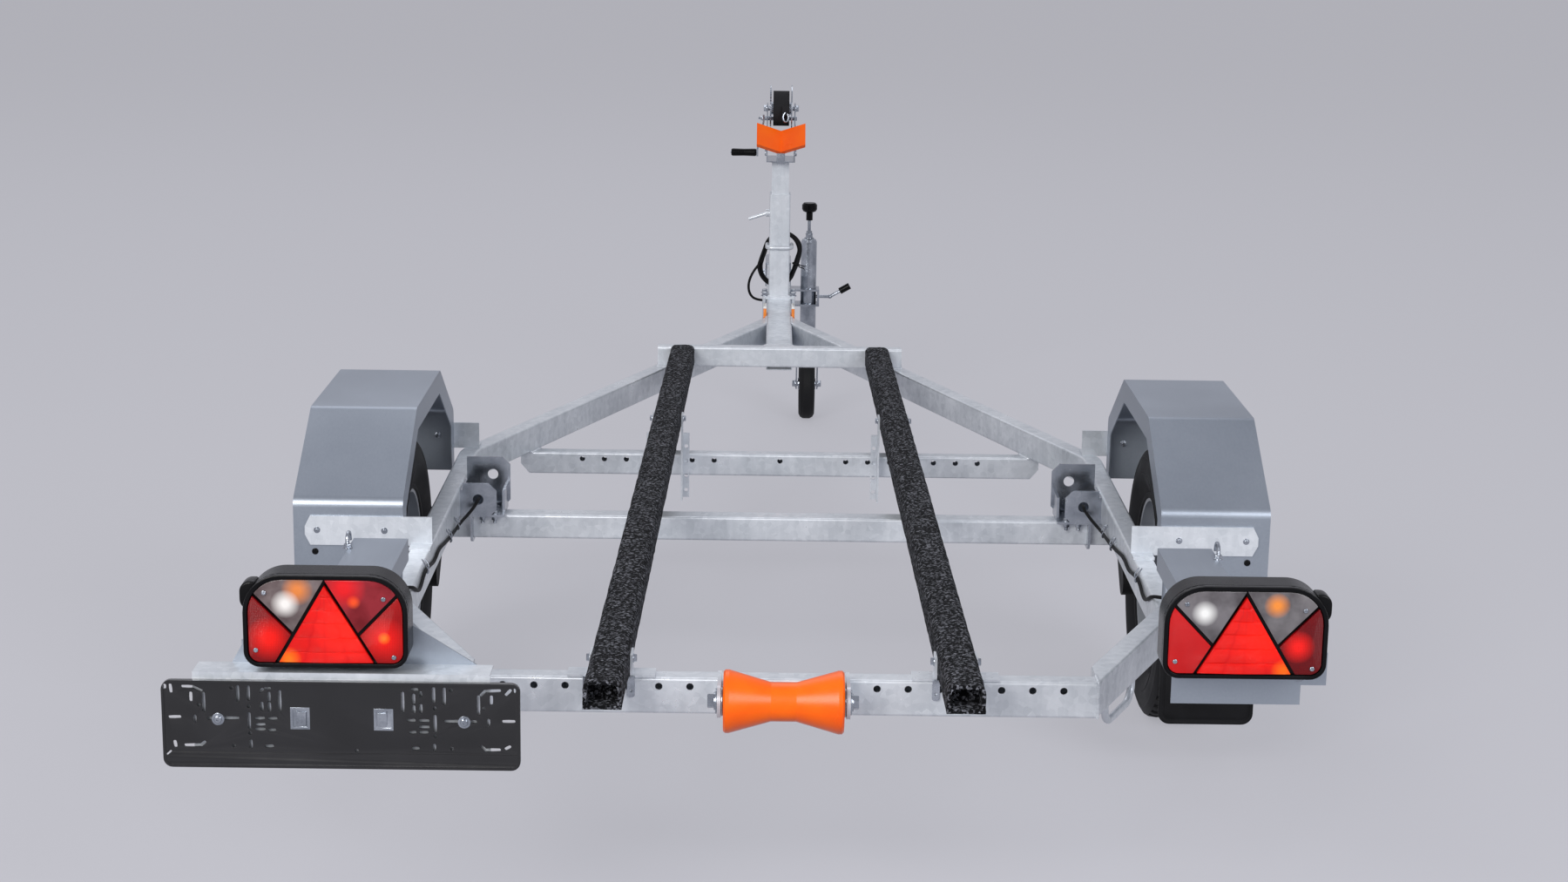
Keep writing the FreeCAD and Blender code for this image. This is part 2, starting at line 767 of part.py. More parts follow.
def axle_bracket(side, word):
    """Saddle on the axle with its web and two upright plates, the plate on the rail, and the axle's flange."""
    rear = "(axle_station - bracket_length / 2)"
    front = "(axle_station + bracket_length / 2)"
    wall = f"({RAIL_FACE} - bracket_thick)"
    low, width = span(side, wall, RAIL_FACE)
    plate = block(f"axle_plate_{word}", low, rear, RAIL_LOW, width, "bracket_length",
                  "bracket_height - tube_round")
    low, width = span(side, f"{wall} - saddle_length", wall)
    saddle = block(f"axle_saddle_{word}", low, rear, RAIL_LOW, width, "bracket_length", "bracket_thick")
    low, width = span(side, f"{wall} - saddle_length", f"{wall} - saddle_length + bracket_thick")
    web = block(f"axle_web_{word}", low, f"{rear} + bracket_web_start", RAIL_LOW, width,
                "bracket_length - bracket_web_start", "bracket_web_rise")
    pieces = [plate, saddle, web]
    eyes = []
    for end, y, reach, rise, eye, eye_rise in (
        ("rear", rear, "bracket_rear_reach", "bracket_rear_rise", "bracket_rear_eye", "bracket_rear_eye"),
        ("front", f"{front} - bracket_thick", "bracket_front_reach", "bracket_front_rise", "bracket_front_eye",
         "bracket_front_eye_rise"),
    ):
        name = f"axle_{end}_plate_{word}"
        body = new_body(name)
        body.Tip = pad(
            body,
            outline(
                body, f"{name}_shape", "XZ_Plane",
                [
                    (signed(side, wall), RAIL_LOW),
                    (signed(side, wall), f"{RAIL_LOW} + {rise}"),
                    (signed(side, f"{RAIL_FACE} - {reach} + bracket_chamfer"), f"{RAIL_LOW} + {rise}"),
                    (signed(side, f"{RAIL_FACE} - {reach}"), f"{RAIL_LOW} + {rise} - bracket_chamfer"),
                    (signed(side, f"{RAIL_FACE} - {reach}"), f"{RAIL_LOW} + bracket_chamfer"),
                    (signed(side, f"{RAIL_FACE} - {reach} + bracket_chamfer"), RAIL_LOW),
                ],
                f"0 - ({y}) - bracket_thick",
            ),
            "bracket_thick",
        )
        pieces.append(body)
        eyes.append(rod(f"axle_{end}_eye_{word}", "y", signed(side, f"{RAIL_FACE} - {eye}"), f"{y} - 1",
                        f"{RAIL_LOW} + {eye_rise}", "bracket_eye_radius", "bracket_thick + 2"))
    flange_body = new_body(f"axle_flange_{word}")
    tight = "(axle_square / 2 + seat_gap)"
    bottom = f"({RAIL_LOW} - axle_flange_drop)"
    outer = f"{RAIL_FACE} - axle_flange_offset"
    low, width = span(side, f"{outer} - bracket_thick", outer)
    flange = pad(
        flange_body,
        outline(
            flange_body, f"axle_flange_{word}_shape", "YZ_Plane",
            [
                (rear, RAIL_LOW),
                (rear, bottom),
                (front, bottom),
                (front, RAIL_LOW),
                (f"axle_station + {tight}", RAIL_LOW),
                (f"axle_station + {tight}", f"{AXLE_Z} - {tight}"),
                (f"axle_station - {tight}", f"{AXLE_Z} - {tight}"),
                (f"axle_station - {tight}", RAIL_LOW),
            ],
            low,
        ),
        width,
    )
    flange_body.Tip = round_edges(flange_body, flange, "axle_flange_round",
                                  lambda at, way: abs(way.x) > 0.99 and near(at.z, bottom))
    pieces.append(flange_body)
    return cut(f"axle_bracket_cut_{word}", fuse(f"axle_bracket_{word}_fuse", pieces), eyes)


def axle_arm(side, word):
    """Trailing arm between the axle's end and the wheel, with the spindle that carries the hub."""
    inner = f"({AXLE_END} + seat_gap)"
    place, thick = span(side, inner, f"{inner} + arm_thick")
    boss = rod(f"arm_boss_{word}", "x", place, "axle_station", AXLE_Z, "arm_boss_radius", thick)
    knuckle = rod(f"arm_knuckle_{word}", "x", place, WHEEL_Y, WHEEL_Z, "arm_hub_radius", thick)
    body = new_body(f"arm_web_{word}")
    slope = "atan(arm_drop / arm_trail)"
    body.Tip = pad(
        body,
        outline(
            body, f"arm_web_sketch_{word}", "YZ_Plane",
            [
                (f"axle_station + arm_boss_radius * sin({slope})",
                 f"{AXLE_Z} - arm_boss_radius * cos({slope})"),
                (f"axle_station - arm_boss_radius * sin({slope})",
                 f"{AXLE_Z} + arm_boss_radius * cos({slope})"),
                (f"{WHEEL_Y} - arm_hub_radius * sin({slope})", f"{WHEEL_Z} + arm_hub_radius * cos({slope})"),
                (f"{WHEEL_Y} + arm_hub_radius * sin({slope})", f"{WHEEL_Z} - arm_hub_radius * cos({slope})"),
            ],
            place,
        ),
        "arm_thick",
    )
    start = f"({inner} + arm_thick / 2)"
    low, length = span(side, start, f"{start} + axle_short + disc_offset")
    spindle = rod(f"spindle_{word}", "x", low, WHEEL_Y, WHEEL_Z, "spindle_radius", length)
    return fuse(f"arm_{word}", [boss, knuckle, body, spindle])


def revolved(name, points, upright=False):
    """A body turned about the X axis, with points (x, radius), or about the Z axis, with points (radius, z)."""
    body = new_body(name)
    sketch = outline(body, name + "_profile", "XZ_Plane", points)
    turn = body.newObject("PartDesign::Revolution", name + "_turn")
    turn.Profile = sketch
    turn.ReferenceAxis = (sketch, ["V_Axis" if upright else "H_Axis"])
    turn.Angle = 360
    doc.recompute()
    body.Tip = turn
    return body


# Wheels: tyre, rim with its disc, and hub
def wheels():
    for side, word in ((-1, "left"), (1, "right")):
        rim = rim_body(side, word)
        for name, item in (("tyre", tyre_body(side, word)), ("rim", rim), ("hub", hub_body(side, word))):
            put(item, signed(side, "wheel_centre"), "0", WHEEL_Z)
            place_wheel(item, f"{name}_{word}", WHEEL_Y)


def both_ways(points):
    """A profile's points on the inner side, followed by the same points mirrored back."""
    return [(f"0 - ({x})", r) for x, r in points] + [(x, r) for x, r in reversed(points)]


def tyre_body(side, word):
    half = "tyre_width / 2"
    seat = "(rim_width / 2 - rim_wall - seat_gap)"
    outside = [
        (f"{seat} - tyre_wall", "rim_radius + seat_gap"),
        (seat, "rim_radius + seat_gap"),
        (f"{seat} + rim_wall / 2", "rim_radius + rim_flange + seat_gap"),
        (f"{seat} + 2 * rim_wall", "rim_radius + rim_flange + 2 * seat_gap"),
        (f"{half} - tyre_side_tuck", "rim_radius + tyre_side_low"),
        (half, "rim_radius + tyre_side_middle"),
        (f"{half} - tyre_side_ease", "rim_radius + tyre_side_high"),
        (f"{half} - tyre_shoulder + tyre_shoulder_step", "tyre_radius - tyre_shoulder_fall"),
        (f"{half} - tyre_shoulder", "tyre_radius"),
        ("groove_spacing + groove_width / 2", "tyre_radius"),
        ("groove_spacing + groove_width / 2", "tyre_radius - groove_depth"),
        ("groove_spacing - groove_width / 2", "tyre_radius - groove_depth"),
        ("groove_spacing - groove_width / 2", "tyre_radius"),
        ("groove_width / 2", "tyre_radius"),
        ("groove_width / 2", "tyre_radius - groove_depth"),
    ]
    inside = [
        (f"{half} - 2 * tyre_wall", "tyre_radius - tread_thick"),
        (f"{half} - tyre_wall", "rim_radius + tyre_side_middle + tyre_wall"),
        (f"{half} - tyre_wall", "rim_radius + tyre_side_middle - tyre_wall"),
        (f"{seat} - tyre_wall / 2", "rim_radius + rim_flange + 2 * seat_gap"),
    ]
    bore = [(x, r) for x, r in reversed(inside)] + [(f"0 - ({x})", r) for x, r in inside]
    profile = both_ways(outside) + bore
    return revolved(f"tyre_{word}_body", [(signed(side, x), r) for x, r in profile])


def rim_body(side, word):
    """Well of the rim and its dished disc, which has a ring of round windows."""
    edge = "rim_width / 2"
    inner_wall = "(rim_radius - rim_wall)"
    drop = "(rim_radius - rim_drop - rim_wall)"
    profile = [
        (f"0 - {edge} - rim_wall / 2", "rim_radius + rim_flange"),
        (f"0 - {edge} + rim_wall / 2", "rim_radius + rim_flange"),
        (f"0 - {edge} + rim_wall", "rim_radius"),
        ("0 - rim_width / 4", "rim_radius"),
        ("0 - rim_width / 5", "rim_radius - rim_drop"),
        ("rim_width / 5", "rim_radius - rim_drop"),
        ("rim_width / 4", "rim_radius"),
        (f"{edge} - rim_wall", "rim_radius"),
        (f"{edge} - rim_wall / 2", "rim_radius + rim_flange"),
        (f"{edge} + rim_wall / 2", "rim_radius + rim_flange"),
        (edge, inner_wall),
        ("rim_width / 4 + rim_wall", inner_wall),
        ("rim_width / 5 + rim_wall", drop),
        ("disc_offset + rim_wall", drop),
        ("disc_offset + rim_wall + disc_dish", "disc_radius + disc_ring"),
        ("disc_offset + rim_wall", "disc_radius"),
        ("disc_offset + rim_wall", "hub_cap_radius + disc_bore_gap"),
        ("disc_offset", "hub_cap_radius + disc_bore_gap"),
        ("disc_offset", "disc_radius + rim_wall / 2"),
        ("disc_offset + disc_dish - rim_wall / 4", "disc_radius + disc_ring + rim_wall / 2"),
        ("disc_offset - rim_wall / 4", drop),
        ("0 - rim_width / 5 - rim_wall", drop),
        ("0 - rim_width / 4 - rim_wall", inner_wall),
        (f"0 - {edge}", inner_wall),
    ]
    disc = revolved(f"rim_{word}_body", [(signed(side, x), r) for x, r in profile])
    count = round(number("rim_window_count"))
    low, length = span(side, "disc_offset - disc_dish", "disc_offset + 3 * disc_dish")
    windows = [
        rod(f"rim_window_{word}_{index}", "x", low, f"rim_window_circle * sin({index} * 360 / rim_window_count)",
            f"rim_window_circle * cos({index} * 360 / rim_window_count)", "rim_window_radius", length)
        for index in range(count)
    ]
    return cut(f"rim_{word}_cut", disc, windows)


def hub_body(side, word):
    bore = "spindle_radius + spindle_gap"
    outer = "disc_offset - seat_gap"
    cap = "disc_offset + hub_cap_length"
    profile = [
        (f"{outer} - hub_length", bore),
        (f"{outer} - hub_length", "hub_radius - hub_neck"),
        (f"{outer} - hub_length + hub_neck_length", "hub_radius - hub_neck"),
        (f"{outer} - hub_flange_thick", "hub_radius - 2 * hub_cap_edge"),
        (f"{outer} - hub_flange_thick", "hub_flange_radius"),
        (outer, "hub_flange_radius"),
        (outer, "hub_cap_radius"),
        (f"{cap} - hub_cap_edge", "hub_cap_radius"),
        (cap, "hub_cap_radius - hub_cap_edge"),
        (cap, "0"),
        (f"{cap} - hub_cap_wall", "0"),
        (f"{cap} - hub_cap_wall", bore),
    ]
    return revolved(f"hub_{word}_body", [(signed(side, x), r) for x, r in profile])


def place_wheel(item, label, station):
    """Names a turned node whose own Placement puts it at its wheel centre."""
    item.Label = label
    tie(item, Placement__Base__y=f"{station} - (nose_station - tail_overhang) / 2")
    NODES.append(item)


# Mudguards of folded sheet, their straps and the flaps behind the wheels
def mudguards():
    straps = []
    for side, word in ((-1, "left"), (1, "right")):
        low, width = span(side, "guard_inner", "guard_inner + guard_width")
        shell = hood(f"guard_{word}_outside", "0", "guard_foot", low, width, "guard_round")
        hollow = hood(f"guard_{word}_inside", "guard_sheet", "guard_foot - guard_sheet", f"{low} + guard_sheet",
                      f"{width} - 2 * guard_sheet", "guard_round - guard_sheet")
        arch = hood(f"guard_{word}_arch", "guard_lip", "guard_foot - guard_sheet", f"{low} - guard_sheet",
                    f"{width} + 2 * guard_sheet", "guard_arch_round")
        node(cut(f"guard_{word}_cut", shell, [hollow, arch]), f"mudguard_{word}")
        for end, face in (("rear", -1), ("front", 1)):
            straps += guard_strap(side, word, end, face)
        node(mudflap(side, word), f"mudflap_{word}")
    node(fuse("mudguard_straps_fuse", straps), "mudguard_straps")


def hood(name, inset, foot, start, width, radius):
    """A prism along X with the mudguard's outline, inset on its five sides and open below."""
    slope = "atan((guard_top - guard_shoulder) / (guard_half_length - guard_half_top))"
    shoulder = f"guard_shoulder - {inset} * tan((90 deg - {slope}) / 2)"
    flat = f"(guard_half_top - {inset} * tan({slope} / 2))"
    crown = f"guard_top - {inset}"
    body = new_body(name)
    solid = pad(
        body,
        outline(
            body, f"{name}_shape", "YZ_Plane",
            [
                (f"{WHEEL_Y} - guard_half_length + {inset}", foot),
                (f"{WHEEL_Y} - guard_half_length + {inset}", shoulder),
                (f"{WHEEL_Y} - {flat}", crown),
                (f"{WHEEL_Y} + {flat}", crown),
                (f"{WHEEL_Y} + guard_half_length - {inset}", shoulder),
                (f"{WHEEL_Y} + guard_half_length - {inset}", foot),
            ],
            start,
        ),
        width,
    )
    body.Tip = round_edges(
        body, solid, radius, lambda at, way: abs(way.x) > 0.99 and (near(at.z, shoulder) or near(at.z, crown)),
    )
    return body


def guard_strap(side, word, end, face):
    """Flat strap from the rail to one end of a mudguard, and its foot on the rail."""
    if face < 0:
        y = f"({WHEEL_Y} - guard_half_length - guard_strap_thick)"
        foot_y = f"{y} - rail_width + guard_strap_thick"
    else:
        y = f"({WHEEL_Y} + guard_half_length)"
        foot_y = y
    name = f"strap_{end}_{word}"
    body = new_body(name)
    reach = "rail_offset + guard_strap_reach"
    top = "frame_top + guard_strap_height"
    body.Tip = pad(
        body,
        outline(
            body, f"{name}_shape", "XZ_Plane",
            [
                (signed(side, RAIL_FACE), "frame_top"),
                (signed(side, f"{reach} - guard_strap_nose / 2"), "frame_top"),
                (signed(side, reach), "frame_top + guard_strap_nose"),
                (signed(side, reach), f"{top} - guard_strap_nose"),
                (signed(side, f"{reach} - guard_strap_nose / 2"), top),
                (signed(side, RAIL_FACE), top),
            ],
            f"0 - {y} - guard_strap_thick",
        ),
        "guard_strap_thick",
    )
    low, width = span(side, RAIL_FACE, f"{RAIL_FACE} + rail_width")
    foot = block(f"strap_foot_{end}_{word}", low, foot_y, "frame_top", width, "rail_width", "guard_strap_thick")
    return [body, foot]


def mudflap(side, word):
    body = new_body(f"flap_{word}_body")
    low, width = span(side, "guard_inner + (guard_width - flap_width) / 2",
                      "guard_inner + (guard_width + flap_width) / 2")
    flap = pad(
        body,
        outline(
            body, f"flap_{word}_shape", "XZ_Plane",
            [
                (low, "flap_bottom"),
                (f"{low} + {width}", "flap_bottom"),
                (f"{low} + {width}", "flap_top"),
                (low, "flap_top"),
            ],
            f"0 - ({WHEEL_Y} - guard_half_length + guard_sheet + seat_gap) - flap_thick",
        ),
        "flap_thick",
    )
    body.Tip = round_edges(
        body, flap, "flap_round",
        lambda at, way: abs(way.y) > 0.99 and near(at.z, "flap_bottom"),
    )
    return body


# Rear lamps on their trays, and the number plate holder on the left
LAMP_BACK = "(lens_depth + lamp_depth - tail_overhang)"


def lamps():
    for side, word in ((-1, "left"), (1, "right")):
        centre = signed(side, "lamp_centre")
        lens_front = "(0 - tail_overhang + lens_depth)"
        shell = lamp_block(f"lamp_{word}_body", centre, "0", LAMP_BACK, "lamp_depth")
        node(shell, f"lamp_{word}")
        lens = lamp_block(f"lens_{word}_body", centre, "lens_margin", lens_front, "lens_depth")
        node(lens, f"lamp_lens_{word}")
        node(lamp_carrier(side, word), f"lamp_carrier_{word}")
    plate_holder()


def lamp_block(name, centre, margin, front, depth):
    """A block with the lamp's outline, smaller by a margin all round, whose front end is at the given station."""
    body = new_body(name)
    left = f"{centre} - lamp_width / 2 + {margin}"
    right = f"{centre} + lamp_width / 2 - {margin}"
    low = f"lamp_bottom + {margin}"
    top = f"lamp_bottom + lamp_height - {margin}"
    solid = pad(
        body,
        outline(body, f"{name}_shape", "XZ_Plane", [(left, low), (right, low), (right, top), (left, top)],
                f"0 - {front}"),
        depth,
    )
    for height, radius in ((top, "lamp_top_round"), (low, "lamp_bottom_round")):
        solid = round_edges(body, solid, f"{radius} - {margin}",
                            lambda at, way: abs(way.y) > 0.99 and near(at.z, height))
    body.Tip = solid
    return body


def lamp_carrier(side, word):
    """Folded tray behind a lamp, the sheet the lamp is bolted to, and the bars that hold both on the rail."""
    tray_inner = "(tray_centre - tray_width / 2)"
    tray_outer = "(tray_centre + tray_width / 2)"
    under = "(tray_top - tray_height)"
    length = f"({LAMP_TUBE_Y} + tray_overlap - {LAMP_BACK})"
    deck_x, deck_width = span(side, tray_inner, tray_outer)
    pieces = [
        block(f"tray_deck_{word}", deck_x, LAMP_BACK, "tray_top - tray_sheet", deck_width, length, "tray_sheet"),
    ]
    for name, inner in (("inner", tray_inner), ("outer", f"{tray_outer} - tray_sheet")):
        low, width = span(side, inner, f"{inner} + tray_sheet")
        pieces.append(block(f"tray_{name}_wall_{word}", low, LAMP_BACK, under, width, length, "tray_height"))
    middle = "(lamp_bottom + lamp_height / 2)"
    if side < 0:
        body = new_body("lamp_board")
        body.Tip = pad(
            body,
            outline(
                body, "lamp_board_shape", "XZ_Plane",
                [
                    ("0 - lamp_board_outer", "lamp_board_low"),
                    ("0 - lamp_board_inner", "lamp_board_low"),
                    ("0 - lamp_board_narrow_inner", middle),
                    ("0 - lamp_board_narrow_outer", middle),
                ],
                f"0 - ({LAMP_BACK} + tray_sheet)",
            ),
            "tray_sheet",
        )
        pieces.append(body)
    back_x, back_width = span(side, "lamp_centre - lamp_width / 2 + lamp_bottom_round",
                              "lamp_centre + lamp_width / 2 - lamp_bottom_round")
    tall = f"{middle} - {under}"
    pieces.append(block(f"tray_back_{word}", back_x, LAMP_BACK, under, back_width, "tray_sheet", tall))
    foot_x, foot_width = span(side, "lamp_foot_outer - lamp_foot_width", "lamp_foot_outer")
    foot_top = "(lamp_bottom + lamp_bottom_round)"
    pieces.append(block(f"lamp_foot_wall_{word}", foot_x, LAMP_BACK, "lamp_foot_low", foot_width, "tray_sheet",
                        f"{foot_top} - lamp_foot_low"))
    pieces.append(block(f"lamp_foot_flange_{word}", foot_x, LAMP_BACK, "lamp_foot_low", foot_width,
                        "lamp_foot_depth", "tray_sheet"))
    tube_z = f"({under} + lamp_tube_radius / 2)"
    tube_x, tube_length = span(side, "rail_offset", f"{tray_outer} + lamp_tube_radius")
    pieces.append(
        rod(f"lamp_tube_{word}_rod", "x", tube_x, LAMP_TUBE_Y, tube_z, "lamp_tube_radius", tube_length)
    )
    pieces.append(rod(f"lamp_post_{word}", "z", signed(side, "rail_offset"), LAMP_TUBE_Y, "frame_top",
                      "lamp_post_radius", f"{tube_z} - frame_top"))
    return fuse(f"tray_{word}", pieces)


def plate_holder():
    """Holder for the number plate, and the folded sheet that carries it under the left lamp."""
    face = "(plate_thick - tail_overhang)"
    left = "0 - plate_centre - plate_width / 2"
    right = "0 - plate_centre + plate_width / 2"
    low = "plate_top - plate_height"
    body = new_body("plate_holder_body")
    holder = pad(
        body,
        outline(body, "plate_shape", "XZ_Plane",
                [(left, low), (right, low), (right, "plate_top"), (left, "plate_top")], f"0 - {face}"),
        "plate_thick",
    )
    body.Tip = round_edges(body, holder, "plate_round", lambda at, way: abs(way.y) > 0.99)
    node(body, "plate_holder")
    carrier_low = f"({low} + board_flange)"
    start = "0 - plate_centre - plate_carrier_half"
    wall = block("carrier_wall", start, face, carrier_low, "2 * plate_carrier_half", "board_sheet",
                 f"board_top - {carrier_low}")
    flange = block("carrier_flange", start, face, "board_top - board_sheet", "2 * plate_carrier_half",
                   f"{LAMP_BACK} - {face}", "board_sheet")
    node(fuse("carrier_fuse", [wall, flange]), "plate_carrier")


# Carpeted bunks, their straps on the rear beam and channels on the middle beam
def bunk_place(station):
    """How far the middle of a bunk is from the trailer's middle, at a station."""
    share = f"(({station}) + bunk_rear) / (front_beam_station + bunk_rear)"
    return f"(bunk_rear_offset + (bunk_front_offset - bunk_rear_offset) * {share})"


def bunks():
    supports = []
    channels = []
    for side, word in ((-1, "left"), (1, "right")):
        body = new_body(f"bunk_{word}_body")
        front = "front_beam_station - seat_gap"
        rear_x = signed(side, "bunk_rear_offset")
        front_x = signed(side, "bunk_front_offset")
        bar = pad(
            body,
            outline(
                body, f"bunk_{word}_plan", "XY_Plane",
                [
                    (f"{rear_x} - bunk_width / 2", "0 - bunk_rear"),
                    (f"{rear_x} + bunk_width / 2", "0 - bunk_rear"),
                    (f"{front_x} + bunk_width / 2", front),
                    (f"{front_x} - bunk_width / 2", front),
                ],
                "bunk_bottom",
            ),
            "bunk_height",
        )
        body.Tip = round_edges(
            body, bar, "bunk_round",
            lambda at, way: abs(way.y) > 0.9 and near(at.z, "bunk_bottom + bunk_height"),
        )
        node(body, f"bunk_{word}")
        strap_low = signed(side, bunk_place("bunk_strap_width / 2"))
        channel_low = signed(side, bunk_place("middle_beam_station - bunk_strap_width / 2"))
        for place, way in (("in", -1), ("out", 1)):
            supports += bunk_strap(f"{place}_{word}", strap_low, way)
            channels.append(bunk_channel(f"{place}_{word}", channel_low, way))
    node(fuse("bunk_straps", supports), "bunk_brackets_rear")
    node(fuse("bunk_channels", channels), "bunk_brackets_middle")


def beside_bunk(centre, way, thick):
    """The lowest X of a plate of some thickness that stands beside a bunk, at -X or at +X of its middle."""
    face = f"{centre} + {way} * (bunk_width / 2 + 2 * seat_gap)"
    return face if way > 0 else f"{face} - {thick}"


def bunk_strap(word, centre, way):
    """Angle that stands on the rear beam beside a bunk."""
    low_x = beside_bunk(centre, way, "bunk_strap_thick")
    foot_x = low_x if way > 0 else f"{low_x} + bunk_strap_thick - bunk_strap_width"
    upright = block(f"bunk_strap_{word}", low_x, "0", "frame_top", "bunk_strap_thick", "bunk_strap_width",
                    "bunk_bottom + bunk_strap_rise - frame_top")
    foot = block(f"bunk_strap_foot_{word}", foot_x, "0", "frame_top", "bunk_strap_width", "bunk_strap_width",
                 "bunk_strap_thick")
    return [upright, foot]


def bunk_channel(word, centre, way):
    """Angle with a row of holes that stands behind the middle beam beside a bunk."""
    low_x = beside_bunk(centre, way, "bunk_strap_thick")
    web_x = low_x if way > 0 else f"{low_x} + bunk_strap_thick - bunk_channel_depth"
    tall = "bunk_bottom + bunk_strap_rise - bunk_channel_bottom"
    short = "bunk_bottom - bunk_channel_short - bunk_channel_bottom"
    upright = block(f"bunk_channel_{word}", low_x, "middle_beam_station - bunk_strap_width",
                    "bunk_channel_bottom", "bunk_strap_thick", "bunk_strap_width", tall)
    web = block(f"bunk_channel_web_{word}", web_x, "middle_beam_station - bunk_strap_thick",
                "bunk_channel_bottom", "bunk_channel_depth", "bunk_strap_thick", short)
    hole_x = f"{web_x} + bunk_channel_depth / 2 + {way} * bunk_strap_thick / 2"
    holes = [
        rod(f"bunk_channel_hole_{word}_{index}", "y", hole_x, "middle_beam_station - bunk_strap_width",
            f"bunk_channel_bottom + bunk_hole_pitch * {index + 0.5}", "bunk_hole_radius", "bunk_strap_width")
        for index in range(4)
    ]
    return cut(f"bunk_channel_cut_{word}", fuse(f"bunk_channel_fuse_{word}", [upright, web]), holes)


# Keel roller on its rod between two ears
def keel_roller():
    half = "roller_length / 2"
    bore = "roller_rod_radius + roller_bore_gap"
    body = revolved(
        "keel_roller_body",
        [
            (f"0 - {half}", bore),
            (f"0 - {half}", "roller_radius - roller_edge"),
            (f"0 - {half} + roller_edge", "roller_radius"),
            ("0 - roller_flat_half", "roller_radius"),
            ("0 - roller_waist_half", "roller_waist_radius"),
            ("roller_waist_half", "roller_waist_radius"),
            ("roller_flat_half", "roller_radius"),
            (f"{half} - roller_edge", "roller_radius"),
            (half, "roller_radius - roller_edge"),
            (half, bore),
        ],
    )
    put(body, "0", "0", "roller_height")
    place_wheel(body, "keel_roller", "0 - roller_station")
    parts = []
    for side, word in ((-1, "left"), (1, "right")):
        inner = f"({half} + roller_ear_gap)"
        low_x = signed(side, inner) if side > 0 else f"0 - {inner} - roller_ear_thick"
        parts.append(block(
            f"roller_ear_{word}", low_x, "0 - roller_station", "roller_height - roller_ear_half",
            "roller_ear_thick", "roller_station", "2 * roller_ear_half",
        ))
        parts.append(rod(
            f"roller_ear_round_{word}", "x", low_x, "0 - roller_station", "roller_height",
            "roller_ear_half", "roller_ear_thick",
        ))
    reach = f"({half} + roller_ear_gap + roller_ear_thick + roller_rod_end)"
    parts.append(rod("roller_rod", "x", f"0 - {reach}", "0 - roller_station", "roller_height",
                     "roller_rod_radius", f"2 * {reach}"))
    node(fuse("roller_bracket_fuse", parts), "roller_bracket")


# Winch post: sleeve clamped on the drawbar, and the tube that slides in it
def winch_post():
    low = "frame_top + foot_thick"
    outer = block("sleeve_outer", "0 - mast_outer / 2", "mast_station - mast_outer / 2", low,
                  "mast_outer", "mast_outer", f"sleeve_top - ({low})")
    rounded = doc.addObject("Part::Fillet", "sleeve_rounded")
    rounded.Base = outer
    doc.recompute()
    edges = upright_edges(outer)
    rounded.Edges = [(index, number("tube_round"), number("tube_round")) for index in edges]
    bore = "(mast_inner + mast_fit_gap)"
    inside = block("sleeve_bore", f"0 - {bore} / 2", f"mast_station - {bore} / 2", low,
                   bore, bore, f"sleeve_top - ({low}) + 1")
    span = "(mast_outer + 2 * ring_radius - 2 * weld_depth)"
    ring = bent_bar("mast_ring", span, "mast_outer + 2 * ring_radius - weld_depth", "ring_radius * 2.5",
                    "ring_radius")
    ring.Placement.Rotation = FreeCAD.Rotation(FreeCAD.Vector(1, 0, 0), -90)
    put(ring, f"0 - {span} / 2", "mast_station + mast_outer / 2 + ring_radius", "ring_height")
    nut = rod("lock_nut", "x", "0 - mast_outer / 2 - lock_nut_thick", "mast_station", "lock_height",
              "lock_nut_radius", "lock_nut_thick + 1")
    screw = doc.addObject("Part::Cylinder", "lock_screw")
    screw.Placement.Rotation = FreeCAD.Rotation(FreeCAD.Vector(0, 1, 0), 270 - number("lock_slant"))
    tie(screw, Radius="lock_radius", Height="lock_length")
    put(screw, "0 - mast_outer / 2 - lock_nut_thick / 2", "mast_station", "lock_height")
    node(fuse("sleeve_fuse", [cut("sleeve_cut", rounded, [inside]), ring, nut, screw]), "mast_sleeve")
    plate = block("foot_plate", "0 - foot_width / 2", "mast_station - foot_length / 2", "frame_top",
                  "foot_width", "foot_length", "foot_thick")
    bolts = []
    for word, way in (("rear", -1), ("front", 1)):
        gap = "(drawbar_width + 2 * (u_rod_radius + seat_gap))"
        bolt = bent_bar(f"u_bolt_{word}", gap, "drawbar_height + foot_thick + 3 * u_rod_radius + seat_gap",
                        "u_rod_radius * 2", "u_rod_radius")
        put(bolt, f"0 - {gap} / 2", f"mast_station + {way} * (foot_length / 2 - 2 * u_rod_radius)",
            "frame_top + foot_thick + 2 * u_rod_radius")
        bolts.append(bolt)
    node(fuse("mast_foot_fuse", [plate] + bolts), "mast_foot")
    post = block("post_outer", "0 - mast_inner / 2", "mast_station - mast_inner / 2",
                 "sleeve_top - post_engaged", "mast_inner", "mast_inner", "post_top - sleeve_top + post_engaged")
    hole = block("post_bore", "0 - mast_inner / 2 + mast_wall", "mast_station - mast_inner / 2 + mast_wall",
                 "sleeve_top - post_engaged - 1", "mast_inner - 2 * mast_wall", "mast_inner - 2 * mast_wall",
                 "post_top - sleeve_top + post_engaged + 2")
    node(cut("post_cut", post, [hole]), "mast_post")


def upright_edges(item):
    """The numbers of a box's four upright edges."""
    return [
        index
        for index, edge in enumerate(item.Shape.Edges, start=1)
        if edge.BoundBox.ZLength > 1 and edge.BoundBox.XLength < 0.01 and edge.BoundBox.YLength < 0.01
    ]


GEAR_DISTANCE = "(gear_module * (gear_teeth_large + gear_teeth_small) / 2)"
CRANK_Y = f"(mast_station + {GEAR_DISTANCE} * sin(gear_angle))"
CRANK_Z = f"({DRUM_Z} + {GEAR_DISTANCE} * cos(gear_angle))"


